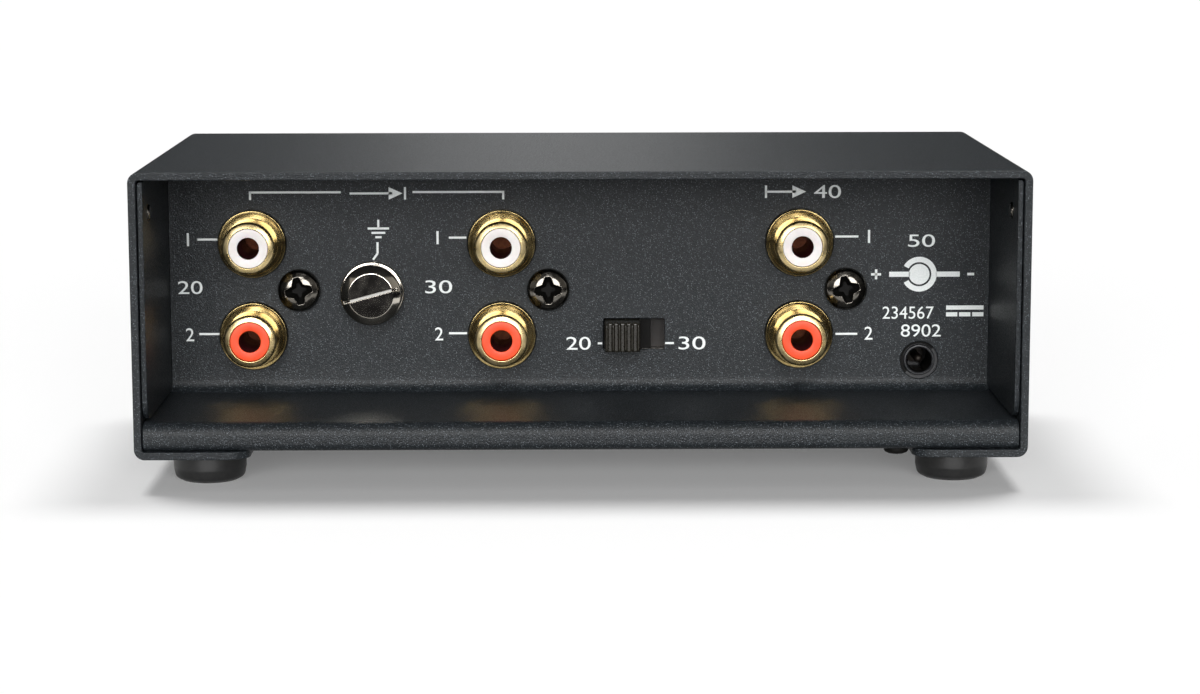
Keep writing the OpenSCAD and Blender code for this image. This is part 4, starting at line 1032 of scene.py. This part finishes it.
HEAD, HEAD_HEIGHT = 6.8, 2.2
spots = [((x, panel_y, z), REARWARD) for x, z in socket_screws]
length = box_mm("socket_screws")[1].y - panel_y
screw = pan_head_screw(HEAD, HEAD_HEIGHT, FOOT_SCREW, length)
piece = copies("socket_screws", screw, spots, black_nickel, any_turn=0.25, seed=4)
finish(piece, black_nickel, "black_nickel", "root", "socket_screws")


def in_recess(place):
    """Whether a place is on a wall of a socket screw's cross."""
    radius = min(math.dist((place.x, place.z), screw) for screw in socket_screws)
    depth = dome_height(HEAD, HEAD_HEIGHT, radius) - (panel_y - place.y)
    return radius < CROSS / 2 * HEAD and depth > 0.12


# The walls of each cross are painted shade
line_with(piece, dull_black_and_painted_shade, in_recess)

# %% Screws in the feet and the earth screw
SEAT = 3.0  # height of the seat in a foot
EARTH_HEAD, EARTH_HEIGHT, EARTH_THREAD = 3.8, 1.18, 2.0

spots = [((foot.x, foot.y, SEAT), DOWN) for foot in feet]
screw = pan_head_screw(HEAD, HEAD_HEIGHT - 0.04, FOOT_SCREW, box_mm("foot_screws")[1].z - SEAT)
piece = copies("foot_screws", screw, spots, zinc_steel, any_turn=math.pi, seed=2)
finish(piece, zinc_steel, "zinc_steel", "root", "foot_screws")

length = box_mm("earth_screw")[1].z - chassis_low.z
screw = pan_head_screw(EARTH_HEAD, EARTH_HEIGHT, EARTH_THREAD, length)
piece = copies("earth_screw", screw, [((*EARTH_SCREW, chassis_low.z), DOWN)], dull_black_and_painted_shade)
finish(piece, dull_black_and_painted_shade, "black_nickel", "root", "earth_screw")

# %% Side screws
REACH = 2.4
outline = [(0, -REACH), (1.05, -REACH), (1.25, -REACH + 0.2), (1.25, -1.0)]
outline += [(2.2, -0.08), (2.12, -0.03), (0, -0.02)]
screw = turned("screw", outline)
combine(screw, cross(2.3, 0.7, -0.02), "DIFFERENCE")
soften(screw, 0.03, steps=1, angle=40)
piece = copies("side_screws", screw, side_spots, black_nickel, any_turn=math.pi, seed=3)
finish(piece, black_nickel, "black_nickel", "root", "side_screws")

# %% [markdown]
# ## Ground terminal
#
# A thumb screw of nickel-plated brass with a captive washer: the turntable's ground wire is clamped
# under it. The lathe turns the head with a wide bevel and a plain stem, a slitting saw cuts the slot,
# and the thread is a groove that runs round the stem once for every pitch. The mesh does the same:
# each point of the plain stem moves in by how far it is from the thread's crest.

# %% Ground screw and washer
HEAD_R, HEAD_L, HEAD_BEVEL, BEVEL_DROP = 4.8, 3.4, 1.25, 0.6
STEM_R = 1.95
PITCH, THREAD_DEPTH = 0.7, 0.38
SLOT_W, SLOT_DEPTH, SLOT_TURN = 0.42, 0.4, math.radians(15)
WASHER_R, WASHER_T, WASHER_BORE = 5.1, 0.8, 2.05
THREAD_ROWS = 100
THREAD_START, THREAD_END = 0.2, 0.35  # plain lengths at the head and at the tip
HEAD_CORNER, HEAD_UNDERCUT, STEM_TIP = 0.35, 0.1, 0.4
SLOT_WEAR, WORN_HALF, SLIT_HALF = 0.03, 3.4, 6  # screwdrivers have deepened the slot's middle
WASHER_CORNER, WASHER_EDGE = 0.3, 0.08  # towards the head, and elsewhere
NICKEL_EDGE = 0.05
seat_y = panel_y - WASHER_T
stem_end = -(box_mm("ground_screw")[1].y - seat_y)

thread_end = stem_end + THREAD_END
stem = [(STEM_R, thread_end * (1 - i / THREAD_ROWS)) for i in range(THREAD_ROWS + 1)]
head = rounded(
    [
        (STEM_R, 0),
        (HEAD_R - HEAD_UNDERCUT, 0),
        (HEAD_R, HEAD_UNDERCUT),
        (HEAD_R, HEAD_L - BEVEL_DROP, HEAD_CORNER),
        (HEAD_R - HEAD_BEVEL, HEAD_L, HEAD_CORNER),
        (0, HEAD_L),
    ],
    steps=6,
)
outline = [(0, stem_end), (STEM_R - STEM_TIP, stem_end)] + stem + [tuple(p) for p in head[1:]]
ground_screw = turned("ground_screw", outline, steps=96)
for vertex in ground_screw.data.vertices:
    x, y, z = vertex.co / MM
    if abs(math.hypot(x, y) - STEM_R) < CLOSE and z < -THREAD_START:
        phase = (z / PITCH - math.atan2(y, x) / (2 * math.pi)) % 1
        shrink = 1 - THREAD_DEPTH * (1 - 2 * abs(phase - 0.5)) / STEM_R
        vertex.co = Vector((x * shrink, y * shrink, z)) * MM
for reach, depth in ((SLIT_HALF, SLOT_DEPTH - SLOT_WEAR), (WORN_HALF, SLOT_DEPTH)):
    slit = [block(-reach, -SLOT_W / 2, reach, SLOT_W / 2)]
    slit = prisms("slit", slit, HEAD_L - depth, HEAD_L + SPARE)
    slit.data.transform(Matrix.Rotation(SLOT_TURN, 4, "Z"))
    combine(ground_screw, slit, "DIFFERENCE")
ground_screw.data.transform(Matrix.Translation(Vector((ground.x, seat_y, ground.z)) * MM) @ OUTWARDS)
soften(ground_screw, NICKEL_EDGE, angle=50)
finish(ground_screw, bright_nickel, "bright_nickel", "ground_screw_body", "ground_screw")
along_slot = Vector((math.cos(SLOT_TURN), math.sin(SLOT_TURN)))


def in_slot(place):
    """Whether a place lies on the worn middle of the slot's floor."""
    offset = Vector((place.x - ground.x, place.z - ground.z))
    height = seat_y - place.y
    between_walls = abs(offset.cross(along_slot)) <= SLOT_W / 2 + CLOSE
    return between_walls and abs(height - HEAD_L + SLOT_DEPTH) < CLOSE


line_with(ground_screw, sawn_nickel, in_slot)

outline = [(WASHER_BORE, 0, WASHER_EDGE), (WASHER_R, 0, WASHER_EDGE)]
outline += [(WASHER_R, WASHER_T, WASHER_CORNER), (WASHER_BORE, WASHER_T, WASHER_EDGE)]
at = Matrix.Translation((ground.x, panel_y, ground.z)) @ OUTWARDS
washer = turned("ground_washer", rounded(outline, steps=5), at, 96)
smooth(washer)
finish(washer, bright_nickel, "bright_nickel", "ground_washer_body", "ground_washer")

# %% [markdown]
# ## Selector switch
#
# The thumb piece is moulded acetal with upright ribs for grip. The ribs follow a rule, so a tree
# makes them: a block with many points across its face, whose face is pushed in by a ripple of one
# rib's pitch and drawn back towards the top and bottom edges.

# %% The tree that makes ribs
ACROSS, THROUGH, UPWARDS = 113, 3, 41  # points along each side of the block
GROOVE = (-0.95, -0.3)  # of the ripple, which runs from -1 to 1: where a groove begins and is full
kinds = {"Size": "Vector", "Pitch": "Float", "Depth": "Float", "Edge": "Float", "Material": "Material"}
rib_tree, given = new_tree("ribbed_thumb_piece", kinds)
cube = {"Size": given["Size"], "Vertices X": ACROSS, "Vertices Y": THROUGH, "Vertices Z": UPWARDS}
cube = add(rib_tree, "GeometryNodeMeshCube", cube)
spot = add(rib_tree, "ShaderNodeSeparateXYZ", {0: add(rib_tree, "GeometryNodeInputPosition")})
half = add(rib_tree, "ShaderNodeVectorMath", {0: given["Size"], "Scale": 0.5}, operation="SCALE")
reach = add(rib_tree, "ShaderNodeSeparateXYZ", {0: half})
turns = add(rib_tree, "ShaderNodeMath", {0: spot.outputs["X"], 1: given["Pitch"]}, operation="DIVIDE")
angle = add(rib_tree, "ShaderNodeMath", {0: turns, 1: 2 * math.pi}, operation="MULTIPLY")
wave = add(rib_tree, "ShaderNodeMath", {0: angle}, operation="COSINE")
groove = {"Value": wave, "From Min": GROOVE[0], "From Max": GROOVE[1]}
groove = add(rib_tree, "ShaderNodeMapRange", groove, interpolation_type="SMOOTHSTEP")

# The face falls back along a quarter circle at its top and bottom edges. Each row is one sum: its
# name, what is done, and the two things that it is done to. A root or an absolute value needs only
# the first.
SUMS = [
    ("ripple", "MULTIPLY", "groove", "depth"),
    ("height", "ABSOLUTE", "z", 0.0),
    ("from edge", "SUBTRACT", "half z", "height"),
    ("share", "DIVIDE", "from edge", "edge"),
    ("rest", "SUBTRACT", 1.0, "share"),
    ("square", "POWER", "rest", 2.0),
    ("inside", "SUBTRACT", 1.0, "square"),
    ("root", "SQRT", "inside", 0.0),
    ("lost", "SUBTRACT", 1.0, "root"),
    ("fall", "MULTIPLY", "lost", "edge"),
    ("pushed", "MAXIMUM", "ripple", "fall"),
    ("behind", "MULTIPLY", "half y", -0.99),
]
known = {"groove": groove, "depth": given["Depth"], "edge": given["Edge"], "z": spot.outputs["Z"]}
known |= {"half y": reach.outputs["Y"], "half z": reach.outputs["Z"]}
for name, done, first, second in SUMS:
    pair = {0: known.get(first, first), 1: known.get(second, second)}
    # only the share is kept between 0 and 1
    known[name] = add(rib_tree, "ShaderNodeMath", pair, operation=done, use_clamp=name == "share")
offset = add(rib_tree, "ShaderNodeCombineXYZ", {"Y": known["pushed"]})
front_of = {0: spot.outputs["Y"], 1: known["behind"]}
on_face = add(rib_tree, "FunctionNodeCompare", front_of, operation="LESS_THAN")
moved = {"Geometry": cube.outputs["Mesh"], "Selection": on_face, "Offset": offset}
moved = add(rib_tree, "GeometryNodeSetPosition", moved)
end_tree(rib_tree, moved, given["Material"])

# %% The thumb piece
KNOB_W, RIB_PITCH, RIB_DEPTH = 5.6, 1.0, 0.42
KNOB_EDGE = 0.55  # how far the face is drawn back at its top and bottom
KNOB_GAP = 0.2  # between the thumb piece and the window, above and below
SLIDER_T = 2.9
OVERLAP = 0.4  # how deep the thumb piece is rooted in its slider
knob_low, knob_high, knob_mid = box_mm("switch_knob")
knob_h = slot_high.z - slot_low.z - 2 * KNOB_GAP
knob_front = knob_low.y
slider_front = knob_high.y - SLIDER_T

depth = slider_front + OVERLAP - knob_front
size = Vector((KNOB_W, depth, knob_h)) * MM
ribs = {"Size": size, "Pitch": RIB_PITCH * MM, "Depth": RIB_DEPTH * MM, "Edge": KNOB_EDGE * MM}
knob = grow("selector_knob", bpy.data.meshes.new("knob"), rib_tree, {**ribs, "Material": knob_plastic})
middle = Vector((knob_mid.x, knob_front + depth / 2, (slot_low.z + slot_high.z) / 2))
knob.data.transform(Matrix.Translation(middle * MM))
plate = [block(knob_low.x, knob_low.z, knob_high.x, knob_high.z)]
combine(knob, prisms("slider", plate, -knob_high.y, -slider_front, OUTWARDS), "UNION")
soften(knob, 0.1, angle=50)
finish(knob, knob_plastic, "knob_plastic", "selector", "switch_knob")
# The slider behind the window is painted shade
line_with(knob, dull_black_and_painted_shade, lambda place: place.y > slider_front - CLOSE)

# %% [markdown]
# ## Power inlet
#
# A moulded block on the board whose nose stands in a hole of the panel, with a pin in the middle of
# its bore; pin and bore are darkened as painted shade. Only the nose shows, so the mould's soft lip
# is what matters.

# %% Inlet
inlet_low, inlet_high, _ = box_mm("inlet_body")
NOSE_R, BARREL_HOLE_R, INLET_BACK, LIP = 2.5, 2.0, 2.0, 0.18
NOSE_DROP = 0.06  # how far the nose stays behind the panel's face
CONTACT_SLIT = 0.9  # half the width of the slit for the contact leaf
nose_face = -panel_y - NOSE_DROP
body = [block(inlet_low.x, inlet_low.z, inlet_high.x, inlet_high.z, 0.3)]
inlet_body = prisms("inlet_body", body, -inlet_high.y, -panel_in, OUTWARDS)
slit_low, slit_high = panel_in + INLET_BACK, inlet_high.y - INLET_BACK
slit = [block(inlet.x - CONTACT_SLIT, slit_low, inlet.x + CONTACT_SLIT, slit_high)]
combine(inlet_body, prisms("slit", slit, inlet_low.z - 1, inlet.z - 1), "DIFFERENCE")
at = Matrix.Translation((inlet.x, 0, inlet.z)) @ OUTWARDS
nose = rounded([(0, -panel_in - 1), (NOSE_R, -panel_in - 1), (NOSE_R, nose_face, 0.2), (0, nose_face)])
combine(inlet_body, turned("nose", nose, at), "UNION")
bore = [(0, -inlet_high.y + INLET_BACK), (BARREL_HOLE_R, -inlet_high.y + INLET_BACK)]
bore += [(BARREL_HOLE_R, nose_face - LIP), (BARREL_HOLE_R + LIP, nose_face)]
bore += [(BARREL_HOLE_R + LIP, -panel_y + 1), (0, -panel_y + 1)]
combine(inlet_body, turned("bore", bore, at), "DIFFERENCE")
soften(inlet_body, 0.06)
finish(inlet_body, black_moulding, "black_moulding", "root", "inlet_body")


def in_bore(place):
    """Whether a place is on the wall of the inlet's bore."""
    return math.dist((place.x, place.z), (inlet.x, inlet.z)) < BARREL_HOLE_R + CLOSE


# The bore's wall is painted shade
line_with(inlet_body, dull_black_and_painted_shade, in_bore)

pin_low, pin_high, _ = box_mm("inlet_pin")
PIN_R, FLANGE_R, FLANGE_T = 0.65, 1.5, 0.6
tip, base = -pin_low.y, -pin_high.y
outline = [(0, base), (FLANGE_R, base), (FLANGE_R, base + FLANGE_T, 0.1), (PIN_R, base + FLANGE_T)]
pin = turned("inlet_pin", rounded(outline + [(PIN_R, tip, 0.6), (0, tip)]), at, 40)
smooth(pin)
finish(pin, inlet_painted_shade, "tinned_steel", "root", "inlet_pin")

# %% [markdown]
# ## Feet
#
# Four moulded rubber feet, each with a recess for its screw. A mould needs draft and rubber needs
# thick edges, so the side leans in over the last two millimetres and rolls under.

# %% Feet
FOOT_R, FOOT_H, RECESS_R, FOOT_BORE = 5.6, 5.0, 3.4, 1.6
outline = rounded(
    [
        (RECESS_R, 0, 0.2),
        (4.25, 0, 0.5),
        (5.3, 0.55, 0.9),
        (FOOT_R, 2.0, 1.5),
        (FOOT_R, FOOT_H, 0.12),
        (FOOT_BORE, FOOT_H),
        (FOOT_BORE, SEAT),
        (RECESS_R, SEAT, 0.2),
    ]
)
spots = [((foot.x, foot.y, 0), UP) for foot in feet]
rubber = copies("rubber_feet", turned("foot", outline, steps=80), spots, foot_rubber)
smooth(rubber)
names = [f"{end}_{side_name}_foot" for end in ("rear", "front") for side_name in ("left", "right")]
finish(rubber, foot_rubber, "foot_rubber", "root", *names)

# %% [markdown]
# ## Power lamp
#
# A 3 mm light-emitting diode in green diffused epoxy. Its dome stands just inside the front face.

# %% Lamp
lamp_low, lamp_high, _ = box_mm("power_lamp")
LAMP_R = 1.5
DOME_STEPS = 8
barrel = lamp_high.y - lamp_low.y - LAMP_R
outline = [(0, 0), (LAMP_R - 0.1, 0), (LAMP_R, 0.1), (LAMP_R, barrel)]
for step in range(1, DOME_STEPS + 1):
    a = math.pi / 2 * step / DOME_STEPS
    reach = LAMP_R * math.cos(a) if step < DOME_STEPS else 0
    outline.append((reach, barrel + LAMP_R * math.sin(a)))
FORWARDS = Matrix.Rotation(-math.pi / 2, 4, "X")
at = Matrix.Translation((lamp_spot.x, lamp_low.y, lamp_spot.z)) @ FORWARDS
lens = turned("power_lamp", outline, at, 40)
smooth(lens)
finish(lens, lamp_lens, "lamp_lens", "root", "power_lamp")

# %% [markdown]
# ## Print on the panel
#
# The panel's marks are screen-printed: rules that lead to each socket, a bracket over each group,
# plain numbers, and the general symbols for ground, polarity and direct current. Ink stands a few
# hundredths of a millimetre proud, so each mark is a thin prism.

# %% Marks
INK = 0.02
STROKE = 0.34
marks = []


def rule(x0, z0, x1, z1, width=STROKE):
    """A straight stroke between two points on the panel."""
    start, end = Vector((x0, z0)), Vector((x1, z1))
    aside = (end - start).normalized().orthogonal() * width / 2
    marks.append([start - aside, end - aside, end + aside, start + aside])


def ring(x, z, radius, middle=0, opening=0, width=STROKE, steps=28):
    """A round stroke, with an opening of so many degrees about a middle direction."""
    first = middle + opening / 2
    turns = [math.radians(first + (360 - opening) * i / steps) for i in range(steps + 1)]
    for near, far in zip(turns, turns[1:]):
        quad = []
        for r, a in ((-1, near), (-1, far), (1, far), (1, near)):
            reach = radius + r * width / 2
            quad.append(Vector((x + reach * math.cos(a), z + reach * math.sin(a))))
        marks.append(quad)


def arrow(x, tip, z):
    """An arrow to the right, from x to its tip."""
    rule(x, z, tip - 1.6, z)
    marks.append([Vector((tip - 2.2, z - 1)), Vector((tip, z)), Vector((tip - 2.2, z + 1))])


# brackets over the inputs, with the arrow that stands for an input between them
RAIL, TICK = 42.5, 41.3
rule(-52.4, RAIL, -38.0, RAIL)
rule(-26.6, RAIL, -12.2, RAIL)
for x in (-52.4, -12.2):
    rule(x, RAIL + STROKE / 2, x, TICK)
arrow(-36.6, -28.2, 42.3)
rule(-27.8, 41.3, -27.8, 43.3)
# the arrow that stands for an output
rule(29.6, 41.4, 29.6, 43.4)
arrow(29.6, 36.0, 42.4)
# a rule to each socket
for x0, x1, z in (
    (-60.9, -57.7, 35.0),
    (-60.9, -57.7, 19.8),
    (-20.9, -18.1, 35.2),
    (-21.0, -18.1, 19.8),
    (40.7, 44.4, 35.2),
    (40.9, 44.4, 19.5),
):
    rule(x0, z, x1, z)
# ground: the general symbol, with a line that leads to the screw
EARTH_X, LEAD_X = -32.1, -32.27
rule(EARTH_X, 38.1, EARTH_X, 36.7)
for half, z in ((1.7, 36.7), (1.1, 36.0), (0.5, 35.3)):
    rule(EARTH_X - half, z, EARTH_X + half, z)
rule(LEAD_X, 34.5, LEAD_X, 32.7)
rule(LEAD_X, 32.7, -33.0, 31.7)
# selector: a dash on each side of the window
rule(2.8, 18.1, 3.5, 18.1)
rule(13.6, 18.1, 15.0, 18.1)
# polarity: a disc inside an open ring, with plus and minus at its ends
POLE_X, POLE_Z, WIDE = 54.2, 29.1, 0.83
ring(POLE_X, POLE_Z, 2.38, middle=180, opening=58, width=0.86)
marks.append(disc(POLE_X, POLE_Z, 3.3, 32))
rule(49.4, POLE_Z, POLE_X - 1.5, POLE_Z, WIDE)
rule(POLE_X + 2.7, POLE_Z, 60.7, POLE_Z, WIDE)
rule(46.5, POLE_Z, 48.1, POLE_Z, 0.38)
rule(47.3, POLE_Z - 0.8, 47.3, POLE_Z + 0.8, 0.38)
rule(61.9, POLE_Z, 63.0, POLE_Z, 0.42)
# direct current: a bar over three dashes
BAR = 0.67
rule(58.6, 23.7, 64.6, 23.7, BAR)
for x in (58.6, 60.7, 62.8):
    rule(x, 22.6, x + 1.8, 22.6, BAR)
print(len(marks), "strokes")

# %% Numbers
# number, middle x, middle z, width and height in mm
NUMBERS = [
    ("1", -62.4, 35.0, 0.36, 2.1),
    ("2", -62.4, 19.7, 1.3, 2.1),
    ("1", -22.7, 35.2, 0.36, 2.1),
    ("2", -22.6, 19.7, 1.3, 2.1),
    ("1", 46.1, 35.2, 0.36, 2.1),
    ("2", 46.2, 19.6, 1.3, 2.1),
    ("20", -62.2, 27.3, 3.9, 2.1),
    ("30", -22.6, 27.3, 4.3, 2.1),
    ("20", -0.3, 18.1, 3.9, 2.1),
    ("30", 17.9, 18.1, 4.3, 2.1),
    ("40", 39.4, 42.4, 4.3, 2.1),
    ("50", 54.5, 34.5, 4.3, 2.0),
    ("234567", 52.5, 22.9, 8.2, 2.0),
    ("8902", 54.6, 20.0, 6.4, 2.0),
]


def number(text, x, z, width, height):
    """A printed number, as a mesh that fills its box."""
    curve = bpy.data.curves.new("number", "FONT")
    curve.body = text
    curve.extrude = 0.5
    writing = new_object("number", curve)
    graph = bpy.context.evaluated_depsgraph_get()
    mesh = bpy.data.meshes.new_from_object(writing.evaluated_get(graph), depsgraph=graph)
    bpy.data.objects.remove(writing)
    low = Vector([min(v.co[i] for v in mesh.vertices) for i in range(3)])
    high = Vector([max(v.co[i] for v in mesh.vertices) for i in range(3)])
    span = high - low
    fit = Matrix.Diagonal((width / span.x, height / span.y, INK / span.z, 1))
    lie = Matrix.Translation((x, panel_y - INK / 2, z)) @ OUTWARDS
    mesh.transform(Matrix.Scale(MM, 4) @ lie @ fit @ Matrix.Translation(-(low + high) / 2))
    return mesh


print_piece = prisms("panel_print", marks, -panel_y, -panel_y + INK, OUTWARDS)
shape = bmesh.new()
shape.from_mesh(print_piece.data)
for entry in NUMBERS:
    shape.from_mesh(number(*entry))
shape.to_mesh(print_piece.data)
shape.free()
finish(print_piece, screen_ink, None, "root")

# %% [markdown]
# ## Parts inside
#
# The solids of the parts inside are already the right shape, so they stay and only get their finish.

# %% Finishes for the frame's own solids
DRESSED = {
    solder_mask: ["circuit_board"],
    brass: ["board_standoffs", "ground_bush"],
    black_moulding: ["mc_socket_block", "mm_socket_block", "out_socket_block", "lamp_holder"],
    tinned: ["switch_terminals", "switch_can"],
    # painted shade: the contacts deep in the sockets
    bronze_painted_shade: ["mc_socket_contacts", "mm_socket_contacts", "out_socket_contacts"],
    # painted shade: the inlet's contact
    inlet_painted_shade: ["inlet_contact"],
    zinc_steel: ["board_screws", "foot_nuts", "earth_nut", "front_panel_screws"],
    bronze: ["ground_strap", "switch_wiper"],
    phenolic: ["switch_base"],
    blue_sleeve: ["filter_capacitors"],
    black_sleeve: ["coupling_capacitors"],
    red_film: ["film_capacitors"],
    chip_epoxy: ["op_amps", "transistors", "regulator"],
    resistor_lacquer: ["resistors"],
}
for material, names in DRESSED.items():
    for name in names:
        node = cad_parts[name]
        node.data.materials.clear()
        node.data.materials.append(material)
print("dressed:", sum(len(names) for names in DRESSED.values()), "solids")

# %% [markdown]
# ## Sizes
#
# Both boxes, of the solids and of the dressed part, are printed. The dressed part must not be
# larger than its solids.

# %% Sizes, and the end
new_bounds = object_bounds()
for name, (low, high) in (("solids", cad_bounds), ("dressed", new_bounds)):
    print(name, [round(v / MM, 2) for v in low], [round(v / MM, 2) for v in high])
